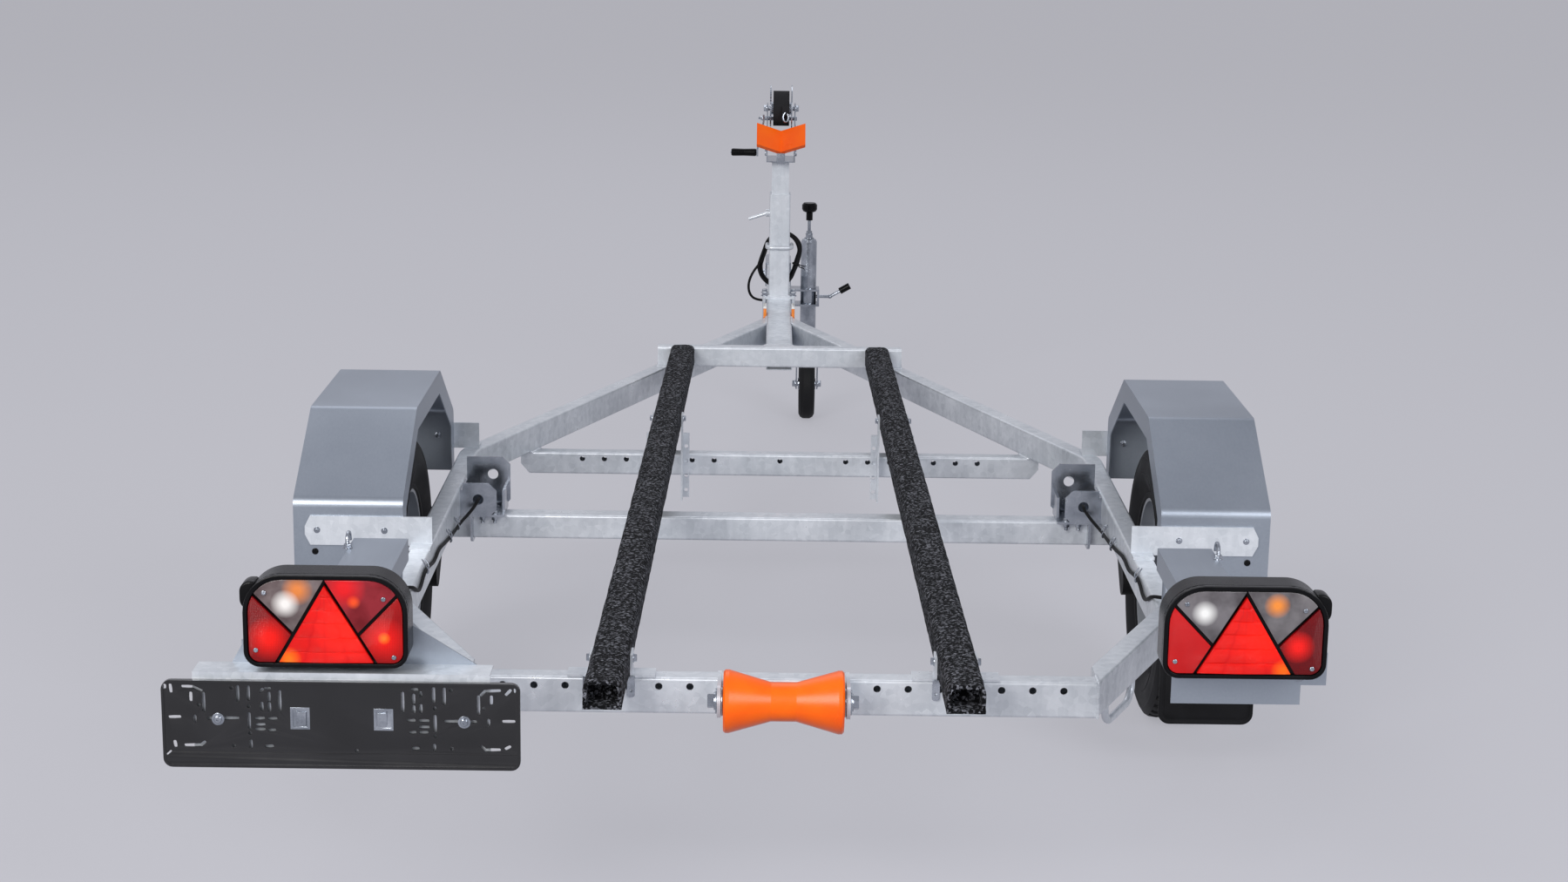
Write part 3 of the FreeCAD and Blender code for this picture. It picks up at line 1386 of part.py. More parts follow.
# Winch on top of the post: frame, drum with its webbing, and the crank that turns it through a pair of gears
def winch():
    half = "winch_width / 2"
    rear = "(mast_station - winch_rear)"
    front = "(mast_station + winch_front)"
    crown = f"{DRUM_Z} + winch_crown"
    pieces = [
        block("winch_base", f"0 - {half}", rear, "post_top", "winch_width", f"{front} - {rear}", "winch_sheet")
    ]
    for side, word in ((-1, "left"), (1, "right")):
        body = new_body(f"winch_cheek_{word}")
        cheek = pad(
            body,
            outline(
                body, f"winch_cheek_{word}_shape", "YZ_Plane",
                [
                    (rear, "post_top"),
                    (front, "post_top"),
                    (front, f"{CRANK_Z} + crank_boss"),
                    ("mast_station + drum_core_radius", crown),
                    ("mast_station - drum_core_radius", crown),
                    (rear, f"{CRANK_Z} - crank_boss"),
                ],
                f"{half} - winch_sheet" if side > 0 else f"0 - {half}",
            ),
            "winch_sheet",
        )
        body.Tip = cheek
        pieces.append(body)
    pieces.append(rod("drum_axle", "x", f"0 - {half} - 5", "mast_station", DRUM_Z,
                      "drum_axle_radius", "winch_width + 2 * winch_axle_end"))
    lean = "bow_lean"
    start_y = f"(mast_station - bow_reach + (bow_back + seat_gap) * cos({lean}))"
    start_z = f"({BOW_Z} - (bow_back + seat_gap) * sin({lean}))"
    end_y = f"({start_y} + bow_height * sin({lean}))"
    end_z = f"({start_z} + bow_height * cos({lean}))"
    support = new_body("bow_support")
    strap = pad(
        support,
        outline(
            support, "bow_support_shape", "YZ_Plane",
            [
                (start_y, "post_top"),
                (start_y, start_z),
                (end_y, end_z),
                (f"{end_y} + bow_strap_thick * cos({lean})", f"{end_z} - bow_strap_thick * sin({lean})"),
                (f"{start_y} + bow_strap_thick", f"{start_z} - bow_strap_thick * tan({lean} / 2)"),
                (f"{start_y} + bow_strap_thick", "post_top + winch_sheet"),
                (rear, "post_top + winch_sheet"),
                (rear, "post_top"),
            ],
            "0 - bow_back_half",
        ),
        "2 * bow_back_half",
    )
    support.Tip = strap
    pieces.append(support)
    bore = rod("crank_bore", "x", "0 - winch_width", CRANK_Y, CRANK_Z,
               "crank_shaft_radius + spindle_gap", "2 * winch_width")
    node(cut("winch_frame_cut", fuse("winch_frame_fuse", pieces), [bore]), "winch_frame")
    drum()
    crank()


def drum():
    """Drum whose left flange is the large gear, and the webbing wound on it."""
    bore = "drum_axle_radius + spindle_gap"
    side = "drum_flange_gap / 2"
    spool = revolved(
        "drum_spool",
        [
            (f"0 - {side} - gear_thick / 2", bore),
            (f"0 - {side} - gear_thick / 2", "drum_core_radius"),
            (side, "drum_core_radius"),
            (side, "drum_flange_radius"),
            (f"{side} + winch_sheet", "drum_flange_radius"),
            (f"{side} + winch_sheet", bore),
        ],
    )
    put(spool, "0", "mast_station", DRUM_Z)
    wheel = gear("gear_large", "gear_teeth_large", f"0 - {side} - gear_thick", "gear_thick",
                 "mast_station", DRUM_Z, bore, 0 - number("gear_angle"))
    node(fuse("drum_fuse", [spool, wheel]), "winch_drum")
    strap = revolved(
        "winch_strap_body",
        [
            ("0 - strap_width / 2", "drum_core_radius + seat_gap"),
            ("0 - strap_width / 2", "strap_radius"),
            ("strap_width / 2", "strap_radius"),
            ("strap_width / 2", "drum_core_radius + seat_gap"),
        ],
    )
    put(strap, "0", "0", DRUM_Z)
    place_wheel(strap, "winch_strap", "mast_station")


def crank():
    """Shaft with the small gear, the bent arm that hangs from its left end, and the grip on its pin."""
    side = "drum_flange_gap / 2"
    end = "(winch_width / 2 + crank_boss)"
    shaft = rod("crank_shaft", "x", f"0 - {end}", CRANK_Y, CRANK_Z, "crank_shaft_radius",
                f"{end} + winch_width / 2 + crank_bar_thick")
    step = 360.0 / number("gear_teeth_small")
    pinion = gear("gear_small", "gear_teeth_small", f"0 - {side} - gear_thick - seat_gap",
                  "gear_thick + 2 * seat_gap",
                  CRANK_Y, CRANK_Z, "crank_shaft_radius", 180 - number("gear_angle") + step / 2)
    body = new_body("crank_arm_body")
    inner = f"0 - {end} + crank_bar_thick"
    outer = f"0 - {end}"
    low = f"{CRANK_Z} - crank_arm"
    bar = pad(
        body,
        outline(
            body, "crank_arm_shape", "XZ_Plane",
            [
                (outer, f"{CRANK_Z} + crank_bar_width / 2"),
                (inner, f"{CRANK_Z} + crank_bar_width / 2"),
                (inner, f"{CRANK_Z} - crank_bar_width / 2"),
                (f"{inner} - crank_jog", f"{low} + crank_bar_width / 2"),
                (f"{inner} - crank_jog", f"{low} - crank_bar_width / 2"),
                (f"{outer} - crank_jog", f"{low} - crank_bar_width / 2"),
                (f"{outer} - crank_jog", f"{low} + crank_bar_width / 2"),
                (outer, f"{CRANK_Z} - crank_bar_width / 2"),
            ],
            f"0 - ({CRANK_Y}) - crank_bar_width / 2",
        ),
        "crank_bar_width",
    )
    body.Tip = bar
    grip_start = f"(0 - {end} - crank_jog - seat_gap - grip_length)"
    pin = rod("grip_pin", "x", f"{grip_start} - grip_edge", CRANK_Y, low, "grip_pin_radius",
              "grip_length + seat_gap + grip_edge + crank_bar_thick / 2")
    node(fuse("crank_fuse", [shaft, pinion, body, pin]), "winch_crank")
    grip = revolved(
        "grip_body",
        [
            ("0", "grip_pin_radius + spindle_gap"),
            ("0", "grip_radius - grip_edge"),
            ("2 * grip_edge", "grip_radius"),
            ("grip_length / 2", "grip_radius - grip_waist"),
            ("grip_length - 2 * grip_edge", "grip_radius"),
            ("grip_length", "grip_radius - grip_edge"),
            ("grip_length", "grip_pin_radius + spindle_gap"),
        ],
    )
    put(grip, grip_start, "0", low)
    place_wheel(grip, "winch_grip", CRANK_Y)


# A tooth's depth and rise beside the pitch circle, in modules, and its corners as shares of the pitch
TOOTH_DEPTH = 1.2
TOOTH_RISE = 0.9
TOOTH_SHARES = (-0.33, -0.2, -0.09, 0.09, 0.2, 0.33)


def gear(name, teeth_text, x, thick, y, z, bore_text, turn):
    """A spur gear with straight-flanked teeth, its axis along X and one tooth at the angle turn from up."""
    teeth = round(number(teeth_text))
    size = number("gear_module")
    pitch = size * teeth / 2
    root = pitch - TOOTH_DEPTH * size
    tip = pitch + TOOTH_RISE * size
    step = 360.0 / teeth
    points = []
    for index in range(teeth):
        for share, radius in zip(TOOTH_SHARES, (root, pitch, tip, tip, pitch, root)):
            spin = FreeCAD.Rotation(FreeCAD.Vector(1, 0, 0), (index + share) * step + turn)
            points.append(spin.multVec(FreeCAD.Vector(0, 0, radius)))
    blank = Part.Face(Part.makePolygon(points + [points[0]])).extrude(FreeCAD.Vector(number(thick), 0, 0))
    bore = Part.makeCylinder(number(bore_text), number(thick), FreeCAD.Vector(), FreeCAD.Vector(1, 0, 0))
    item = doc.addObject("Part::Feature", name)
    item.Shape = blank.cut(bore)
    return put(item, x, y, z)


# Bow stop: an orange pad folded into a V, leaning forward on its strap
def bow_stop():
    half = "bow_width / 2"
    rise = f"({half} * tan(bow_fold))"
    body = new_body("bow_stop_body")
    vee = pad(
        body,
        outline(
            body, "bow_stop_shape", "XY_Plane",
            [
                (f"0 - {half}", f"0 - {rise}"),
                ("0", "0"),
                (half, f"0 - {rise}"),
                (half, f"bow_thick - {rise}"),
                ("bow_back_half", "bow_back"),
                ("0 - bow_back_half", "bow_back"),
                (f"0 - {half}", f"bow_thick - {rise}"),
            ],
        ),
        "bow_height",
    )
    body.Tip = vee
    body.Placement.Rotation = FreeCAD.Rotation(FreeCAD.Vector(1, 0, 0), 0 - number("bow_lean"))
    put(body, "0", "0", BOW_Z)
    place_wheel(body, "bow_stop", "(mast_station - bow_reach)")


# Jockey wheel: clamp, outer tube, sliding inner tube, fork and wheel
def jockey_wheel():
    x = "jockey_offset"
    y = "jockey_station"
    bore = "jockey_outer_radius - jockey_wall"
    tube = revolved(
        "jockey_tube_body",
        [
            (bore, "jockey_bottom"),
            ("jockey_outer_radius", "jockey_bottom"),
            ("jockey_outer_radius", "jockey_top - jockey_cap_round"),
            ("jockey_outer_radius - jockey_cap_edge", "jockey_top - jockey_cap_edge"),
            ("jockey_outer_radius - jockey_cap_round", "jockey_top"),
            ("jockey_neck_radius", "jockey_top"),
            ("jockey_neck_radius", "jockey_neck_top"),
            ("jockey_spindle_radius", "jockey_neck_top"),
            ("jockey_spindle_radius", "jockey_knob_bottom + jockey_knob_height / 2"),
            ("0", "jockey_knob_bottom + jockey_knob_height / 2"),
            ("0", "jockey_top - jockey_cap_round"),
            (bore, "jockey_top - jockey_cap_round"),
        ],
        upright=True,
    )
    put(tube, x)
    place_wheel(tube, "jockey_tube", y)
    jockey_clamp(x, y)
    inner = f"({bore} - jockey_fit_gap)"
    slide = revolved(
        "jockey_slide_body",
        [
            ("jockey_pin_radius + spindle_gap", "jockey_fork_top + seat_gap"),
            (inner, "jockey_fork_top + seat_gap"),
            (inner, "jockey_inner_top"),
            (f"{inner} - tube_wall", "jockey_inner_top"),
            (f"{inner} - tube_wall", "jockey_fork_top + jockey_plug"),
            ("jockey_pin_radius + spindle_gap", "jockey_fork_top + jockey_plug"),
        ],
        upright=True,
    )
    put(slide, x)
    place_wheel(slide, "jockey_inner_tube", y)
    jockey_fork(x, y)
    hub_y = f"{y} + jockey_trail"
    half = "jockey_wheel_width / 2"
    boss = "(jockey_axle_radius + jockey_boss_wall)"
    wall = "(jockey_hub_radius - jockey_rim_wall)"
    rim = revolved(
        "jockey_rim_body",
        [
            (f"0 - {half} - jockey_side_step", "jockey_axle_radius + spindle_gap"),
            (f"0 - {half} - jockey_side_step", boss),
            (f"0 - {half} + jockey_disc_inset", f"{boss} + draft_step"),
            (f"0 - {half} + jockey_disc_inset", f"{wall} - draft_step"),
            (f"0 - {half} + jockey_side_step", wall),
            (f"0 - {half} + jockey_side_step", "jockey_hub_radius"),
            (f"{half} - jockey_side_step", "jockey_hub_radius"),
            (f"{half} - jockey_side_step", wall),
            (f"{half} - jockey_disc_inset", f"{wall} - draft_step"),
            (f"{half} - jockey_disc_inset", f"{boss} + draft_step"),
            (f"{half} + jockey_side_step", boss),
            (f"{half} + jockey_side_step", "jockey_axle_radius + spindle_gap"),
        ],
    )
    put(rim, x, "0", "jockey_wheel_radius")
    place_wheel(rim, "jockey_rim", hub_y)
    tyre = revolved(
        "jockey_tyre_body",
        [
            (f"0 - {half} + jockey_tread_edge", "jockey_hub_radius + seat_gap"),
            (f"0 - {half}", "jockey_hub_radius + jockey_tread_round"),
            (f"0 - {half}", "jockey_wheel_radius - jockey_tread_round"),
            (f"0 - {half} + jockey_tread_edge", "jockey_wheel_radius - jockey_tread_edge"),
            (f"0 - {half} + jockey_tread_round", "jockey_wheel_radius"),
            (f"{half} - jockey_tread_round", "jockey_wheel_radius"),
            (f"{half} - jockey_tread_edge", "jockey_wheel_radius - jockey_tread_edge"),
            (half, "jockey_wheel_radius - jockey_tread_round"),
            (half, "jockey_hub_radius + jockey_tread_round"),
            (f"{half} - jockey_tread_edge", "jockey_hub_radius + seat_gap"),
        ],
    )
    put(tyre, x, "0", "jockey_wheel_radius")
    place_wheel(tyre, "jockey_tyre", hub_y)


def jockey_clamp(x, y):
    """Box clamp beside the drawbar, its threaded handle, and the black knobs of handle and spindle."""
    left = "drawbar_width / 2 + seat_gap"
    right = f"{x} + jockey_clamp_half"
    low = "jockey_clamp_bottom"
    box = block("clamp_box", left, f"{y} - jockey_clamp_half", low,
                f"{right} - ({left})", "2 * jockey_clamp_half", "jockey_clamp_height")
    wall = "jockey_clamp_wall"
    window = block("clamp_window", f"{left} + {wall}", f"{y} - jockey_clamp_half - 1", f"{low} + {wall}",
                   f"{right} - ({left}) - 2 * {wall}", "2 * jockey_clamp_half + 2",
                   f"jockey_clamp_height - 2 * {wall}")
    hole = rod("clamp_hole", "z", x, y, f"{low} - 1", "jockey_outer_radius + seat_gap",
               "jockey_clamp_height + 2")
    middle = f"{low} + jockey_clamp_height / 2"
    press = rod("clamp_screw", "x", f"{x} + jockey_outer_radius + seat_gap", y, middle, "jockey_spindle_radius",
                "jockey_clamp_half - jockey_outer_radius - seat_gap + jockey_handle_reach")
    bend_x = f"({right} + jockey_handle_reach)"
    stem = doc.addObject("Part::Cylinder", "clamp_stem")
    stem.Placement.Rotation = FreeCAD.Rotation(FreeCAD.Vector(0, 1, 0), 90 - number("jockey_grip_lift"))
    tie(stem, Radius="jockey_spindle_radius", Height="jockey_grip_length")
    put(stem, bend_x, y, middle)
    elbow = doc.addObject("Part::Sphere", "clamp_elbow")
    tie(elbow, Radius="jockey_elbow_radius")
    put(elbow, bend_x, y, middle)
    node(fuse("clamp_fuse", [cut("clamp_cut", box, [window, hole]), press, stem, elbow]), "jockey_clamp")
    crown = "(jockey_knob_bottom + jockey_knob_height)"
    knob = revolved(
        "spindle_knob",
        [
            ("jockey_spindle_radius + spindle_gap", "jockey_knob_bottom"),
            ("jockey_spindle_radius + jockey_knob_wall", "jockey_knob_bottom"),
            ("jockey_spindle_radius + jockey_knob_wall", f"{crown} - jockey_knob_cap - jockey_knob_wall"),
            ("jockey_knob_radius - jockey_knob_edge", f"{crown} - jockey_knob_cap"),
            ("jockey_knob_radius", f"{crown} - jockey_knob_cap + 2 * jockey_knob_edge"),
            ("jockey_knob_radius", f"{crown} - 2 * jockey_knob_edge"),
            ("jockey_knob_radius - jockey_knob_wall", crown),
            ("0", crown),
            ("0", "jockey_knob_bottom + jockey_knob_height / 2 + seat_gap"),
            ("jockey_spindle_radius + spindle_gap", "jockey_knob_bottom + jockey_knob_height / 2 + seat_gap"),
        ],
        upright=True,
    )
    put(knob, x, y)
    cap = doc.addObject("Part::Cylinder", "handle_knob")
    cap.Placement.Rotation = stem.Placement.Rotation
    tie(cap, Radius="jockey_grip_radius", Height="jockey_grip_length")
    lift = "jockey_grip_lift"
    far = "(jockey_grip_length + seat_gap)"
    put(cap, f"{bend_x} + {far} * cos({lift})", y, f"{middle} + {far} * sin({lift})")
    node(fuse("jockey_knobs_fuse", [knob, cap]), "jockey_knobs")


def jockey_fork(x, y):
    """Fork with its crown, two legs, the pin that turns in the inner tube and the wheel's axle."""
    sheet = "jockey_fork_sheet"
    half = f"(jockey_wheel_width / 2 + jockey_fork_gap + {sheet})"
    boss = "jockey_axle_radius * 2"
    pieces = [
        block("fork_crown", f"{x} - {half}", f"{y} - jockey_outer_radius", f"jockey_fork_top - {sheet}",
              f"2 * {half}", "2 * jockey_outer_radius + jockey_fork_front", sheet),
        rod("fork_pin", "z", x, y, f"jockey_fork_top - {sheet}", "jockey_pin_radius",
            f"jockey_plug + {sheet} - draft_step"),
        rod("fork_axle", "x", f"{x} - {half} - jockey_axle_end", f"{y} + jockey_trail", "jockey_wheel_radius",
            "jockey_axle_radius", f"2 * {half} + 2 * jockey_axle_end"),
    ]
    for side, word in ((-1, "left"), (1, "right")):
        body = new_body(f"fork_leg_{word}")
        leg = pad(
            body,
            outline(
                body, f"fork_leg_{word}_shape", "YZ_Plane",
                [
                    (f"{y} - jockey_outer_radius", "jockey_fork_top"),
                    (f"{y} - jockey_outer_radius", "jockey_fork_top - jockey_fork_collar"),
                    (f"{y} + jockey_trail - {boss}", "jockey_wheel_radius"),
                    (f"{y} + jockey_trail - {boss} / 2", f"jockey_wheel_radius - {boss}"),
                    (f"{y} + jockey_trail + {boss} / 2", f"jockey_wheel_radius - {boss}"),
                    (f"{y} + jockey_trail + {boss}", "jockey_wheel_radius"),
                    (f"{y} + jockey_outer_radius + jockey_fork_front", "jockey_fork_top - jockey_fork_collar"),
                    (f"{y} + jockey_outer_radius + jockey_fork_front", "jockey_fork_top"),
                ],
                f"{x} + {half} - {sheet}" if side > 0 else f"{x} - {half}",
            ),
            sheet,
        )
        body.Tip = leg
        pieces.append(body)
    node(fuse("fork_fuse", pieces), "jockey_fork")


# Coupling head over the drawbar's front end, with its ball socket and lever
def coupling():
    half = "(drawbar_width / 2 + seat_gap + coupling_wall)"
    top = "(frame_top + seat_gap + coupling_wall)"
    low = "coupling_low"
    plan_body = new_body("coupling_plan")
    plan = pad(
        plan_body,
        outline(
            plan_body, "coupling_plan_shape", "XY_Plane",
            [
                (f"0 - {half}", "coupling_rear"),
                (half, "coupling_rear"),
                (half, "coupling_shoulder"),
                ("coupling_nose_half", "ball_station - ball_radius"),
                ("coupling_nose_half", "nose_station"),
                ("0 - coupling_nose_half", "nose_station"),
                ("0 - coupling_nose_half", "ball_station - ball_radius"),
                (f"0 - {half}", "coupling_shoulder"),
            ],
            low,
        ),
        f"{top} - {low}",
    )
    plan = round_edges(plan_body, plan, "coupling_nose_round",
                       lambda at, way: abs(way.z) > 0.99 and near(at.y, "nose_station"))
    plan_body.Tip = plan
    side_body = new_body("coupling_side")
    side = pad(
        side_body,
        outline(
            side_body, "coupling_side_shape", "YZ_Plane",
            [
                ("coupling_rear - 1", f"{low} - 1"),
                ("nose_station + 1", f"{low} - 1"),
                ("nose_station + 1", "coupling_crown"),
                ("ball_station - ball_radius", "coupling_crown"),
                ("coupling_shoulder", top),
                ("coupling_rear - 1", top),
            ],
            "0 - 2 * drawbar_width",
        ),
        "4 * drawbar_width",
    )
    side_body.Tip = side
    shell = doc.addObject("Part::MultiCommon", "coupling_solid")
    shell.Shapes = [plan_body, side_body]
    hollow = block("coupling_hollow", "0 - drawbar_width / 2 - seat_gap", "coupling_rear - 1", f"{low} - 1",
                   "drawbar_width + 2 * seat_gap", "drawbar_front + seat_gap - coupling_rear + 1",
                   f"frame_top + seat_gap - {low} + 1")
    ball = doc.addObject("Part::Sphere", "ball_hollow")
    tie(ball, Radius="ball_radius + ball_gap")
    put(ball, "0", "ball_station", "ball_height")
    mouth = rod("ball_mouth", "z", "0", "ball_station", f"{low} - 1", "ball_radius + ball_gap",
                f"ball_height - {low} + 1")
    node(cut("coupling_cut", shell, [hollow, ball, mouth]), "coupling_head")
    lever = new_body("coupling_lever_body")
    base = "coupling_crown + seat_gap"
    front = "ball_station - ball_radius"
    rear = f"({front} - lever_length)"
    shape = pad(
        lever,
        outline(
            lever, "coupling_lever_shape", "YZ_Plane",
            [
                (f"{front} + lever_width", base),
                (f"{front} + lever_width", f"{base} + lever_thick"),
                (f"{front} - lever_length * 0.25", f"{base} + lever_rise * 0.72"),
                (rear, f"{base} + lever_rise"),
                (rear, f"{base} + lever_rise - lever_thick"),
                (f"{front} - lever_length * 0.25", f"{base} + lever_rise * 0.72 - lever_thick"),
                (front, base),
            ],
            "0 - lever_width / 2",
        ),
        "lever_width",
    )
    lever.Tip = shape
    node(lever, "coupling_lever")


# Supply lead: its gland on the drawbar's left side, the stretches that lie free, the hank and the plug
HANK_BACK = "(mast_station + mast_outer / 2 + hank_gap)"
LEAD_ENDS = {
    "gland": ("0 - drawbar_width / 2 - gland_length", "gland_station", "frame_top - gland_drop"),
    "hank": ("hank_x", f"{HANK_BACK} + hank_thick / 2", "hank_height"),
    "plug": ("plug_x", "mast_station + mast_outer / 2 + seat_gap + plug_radius",
             "plug_bottom + plug_length + plug_neck_length"),
}
LEAD_RISE = [
    ("gland", 0, 0, 0),
    ("gland", -23, -1, 2),
    ("gland", -39, -8, 20),
    ("hank", -92, 23, -85),
    ("hank", -86, 12, -58),
    ("hank", -73, 3, -33),
    ("hank", -56, 0, -9),
]
LEAD_DROP = [
    ("hank", 12, -1, 78),
    ("plug", 8, -2, 46),
    ("plug", 0, 0, 22),
    ("plug", 0, 0, 0),
]
LEAD_BEND = 0.45


def supply_lead():
    gland = revolved(
        "supply_gland_body",
        [
            ("0", "0"),
            ("0", "gland_radius"),
            ("0 - gland_length / 2", "gland_radius"),
            ("0 - gland_length", "gland_nose"),
            ("0 - gland_length", "0"),
        ],
    )
    put(gland, "0 - drawbar_width / 2", "0", "frame_top - gland_drop")
    place_wheel(gland, "supply_gland", "gland_station")
    hank = cut("supply_hank_cut", oval("hank_outer", 1), [oval("hank_inner", -1)])
    hank.Placement.Rotation = FreeCAD.Rotation(FreeCAD.Vector(0, 1, 0), number("hank_lean"))
    put(hank, "hank_x", "0", "hank_height")
    place_wheel(hank, "supply_hank", HANK_BACK)
    top = "plug_length + plug_neck_length"
    plug = revolved(
        "supply_plug_body",
        [
            ("0", "0"),
            ("plug_radius - plug_edge", "0"),
            ("plug_radius", "plug_edge"),
            ("plug_radius", "plug_length / 2"),
            ("plug_radius - plug_edge", "plug_length / 2"),
            ("plug_radius - plug_edge", "plug_length - plug_edge"),
            ("plug_neck_radius", "plug_length"),
            ("gland_nose", top),
            ("0", top),
        ],
        upright=True,
    )
    put(plug, "plug_x", "0", "plug_bottom")
    place_wheel(plug, "supply_plug", LEAD_ENDS["plug"][1])
    doc.recompute()
    for name, points in (("supply_lead_rise", LEAD_RISE), ("supply_lead_drop", LEAD_DROP)):
        lead = doc.addObject("Part::Feature", name)
        rest = lead_tube(points).cut([hank.Shape, gland.Shape, plug.Shape])
        lead.Shape = max(rest.Solids, key=lambda solid: solid.Volume)
        lead.Label = name
        NODES.append(lead)


def oval(name, way):
    """The hank's outer (way 1) or inner (way -1) outline as a block along Y."""
    body = new_body(name)
    wide = f"(hank_half_width + {way} * hank_thick / 2)"
    tall = f"(hank_half_height + {way} * hank_thick / 2)"
    slab = pad(
        body,
        outline(body, f"{name}_shape", "XZ_Plane",
                [(f"0 - {wide}", f"0 - {tall}"), (wide, f"0 - {tall}"), (wide, tall), (f"0 - {wide}", tall)],
                "0 - hank_thick"),
        "hank_thick",
    )
    body.Tip = round_edges(body, slab, f"{wide} - seat_gap", lambda at, way: abs(way.y) > 0.99)
    return body


def lead_tube(points):
    """A tube of the lead's size along straight runs and the arcs between them."""
    shift = FreeCAD.Vector(0, 0 - number("(nose_station - tail_overhang) / 2"), 0)
    route = [
        FreeCAD.Vector(*(number(text) for text in LEAD_ENDS[end])) + FreeCAD.Vector(*away) + shift
        for end, *away in points
    ]
    edges = []
    radii = []
    last = route[0]
    for before, corner, after in zip(route, route[1:], route[2:]):
        back = before - corner
        ahead = after - corner
        reach = LEAD_BEND * min(back.Length, ahead.Length)
        radii.append(reach * math.tan(back.getAngle(ahead) / 2))
        back.normalize()
        ahead.normalize()
        start = corner + back * reach
        end = corner + ahead * reach
        inward = (back + ahead).normalize()
        offset = math.hypot(reach, radii[-1]) - radii[-1]
        edges.append(Part.LineSegment(last, start).toShape())
        edges.append(Part.Arc(start, corner + inward * offset, end).toShape())
        last = end
    edges.append(Part.LineSegment(last, route[-1]).toShape())
    print("lead radii", [round(radius) for radius in radii])
    path = Part.Wire(edges)
    circle = Part.Circle(route[0], route[1] - route[0], number("lead_radius"))
    return path.makePipeShell([Part.Wire(circle.toShape())], True, True)


# Round-bar tie loops welded under the rear ends of the rails
def tie_loops():
    loops = []
    for side, word in ((-1, "left"), (1, "right")):
        body = bent_bar(f"tie_loop_{word}", "loop_length", "loop_drop", "loop_bend", "loop_radius")
        body.Placement.Rotation = FreeCAD.Rotation(FreeCAD.Vector(0, 0, 1), 90 - side * number("rear_angle"))
        along = "(loop_station - rail_width / 2 / sin(rear_angle))"
        put(body, signed(side, f"rear_half_width + {along} * tan(rear_angle)"), "loop_station",
            "frame_top - rail_height")
        loops.append(body)
    node(fuse("tie_loops_fuse", loops), "tie_loops")


def side_markers():
    """Small amber lamps on both sides of the drawbar."""
    markers = []
    for side, word in ((-1, "left"), (1, "right")):
        near_x = "(drawbar_width / 2 + seat_gap)"
        low_x = near_x if side > 0 else f"0 - {near_x} - marker_thick"
        markers.append(block(f"marker_{word}", low_x, "marker_station - marker_length / 2",
                             "frame_top - marker_drop - marker_height", "marker_thick", "marker_length",
                             "marker_height"))
    node(fuse("side_markers_fuse", markers), "side_markers")


for side, label in ((-1, "rail_left"), (1, "rail_right")):
    rail(side, label)
cross_members()
axle()
wheels()
mudguards()
lamps()
bunks()
keel_roller()
winch_post()
winch()
bow_stop()
jockey_wheel()
coupling()
supply_lead()
tie_loops()
side_markers()

doc.recompute()
for item in doc.Objects:
    if {"Invalid", "Error"} & set(item.State):
        raise RuntimeError(f"{item.Label} failed: {item.State}")
os.makedirs("parts", exist_ok=True)
for item in NODES:
    shape = item.Shape
    if shape.isNull() or not shape.isValid():
        raise RuntimeError(f"{item.Label} has no valid shape")
    shape.exportStep(f"parts/{item.Label}.step")
print(f"{len(NODES)} nodes written")
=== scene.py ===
import bpy
import math
from mathutils import Matrix, Vector


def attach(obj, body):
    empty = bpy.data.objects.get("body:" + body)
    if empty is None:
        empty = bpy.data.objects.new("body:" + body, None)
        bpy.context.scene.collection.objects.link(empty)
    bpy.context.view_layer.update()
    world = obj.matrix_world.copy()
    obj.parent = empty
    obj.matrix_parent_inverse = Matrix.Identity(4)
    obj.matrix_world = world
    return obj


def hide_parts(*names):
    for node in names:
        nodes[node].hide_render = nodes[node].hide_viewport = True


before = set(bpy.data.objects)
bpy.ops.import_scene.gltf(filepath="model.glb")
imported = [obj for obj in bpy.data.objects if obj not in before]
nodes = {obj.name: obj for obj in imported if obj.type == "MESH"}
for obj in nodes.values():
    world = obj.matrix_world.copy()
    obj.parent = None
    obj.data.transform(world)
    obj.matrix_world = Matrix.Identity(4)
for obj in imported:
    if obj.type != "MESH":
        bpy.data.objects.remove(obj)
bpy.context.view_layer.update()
sides = (("left", -1), ("right", 1))
print("frame loaded:", len(nodes), "nodes")

studio = {
    "background": (187, 187, 195),
    "floorSize": 160.0,
    "floorGlow": 0.72,      # share of the floor's tone that no shadow darkens
    "floorPaint": 0.40,
    "floorBounce": 0.5,     # share of the tone that the object sees of the floor
    "skyLight": 0.38,
    "lamps": (              # name, place, size, power, colour
        ("keySoftbox", (-3.8, -8.6, 4.6), 4.2, 620, (255, 253, 250)),
        ("rightSoftbox", (4.8, -7.8, 4.2), 3.8, 360, (250, 252, 255)),
        ("highSoftbox", (-1.0, 6.0, 8.5), 6.0, 150, (248, 250, 255)),
    ),
    "aim": (0.0, -0.4, 0.4),
}
cameraSetting = {
    "place": (-0.0351, -6.0973, 1.7718),
    "lens": 60.3,
    "yaw": 0.43,
    "pitch": 13.04,
    "roll": 0.84,
}


def linear(red, green, blue):
    def one(value):
        value /= 255
        return value / 12.92 if value <= 0.04045 else ((value + 0.055) / 1.055) ** 2.4
    return (one(red), one(green), one(blue), 1.0)


class Wire:
    # an output of a node, so that maths on a pattern is written as plain Python
    def __init__(self, finish, socket):
        self.finish = finish
        self.socket = socket

    def maths(self, operation, first, second):
        return self.finish.add("ShaderNodeMath", {"operation": operation}, {0: first, 1: second})

    def __add__(self, other):
        return self.maths("ADD", self, other)

    def __radd__(self, other):
        return self.maths("ADD", other, self)

    def __rsub__(self, other):
        return self.maths("SUBTRACT", other, self)

    def __mul__(self, other):
        return self.maths("MULTIPLY", self, other)


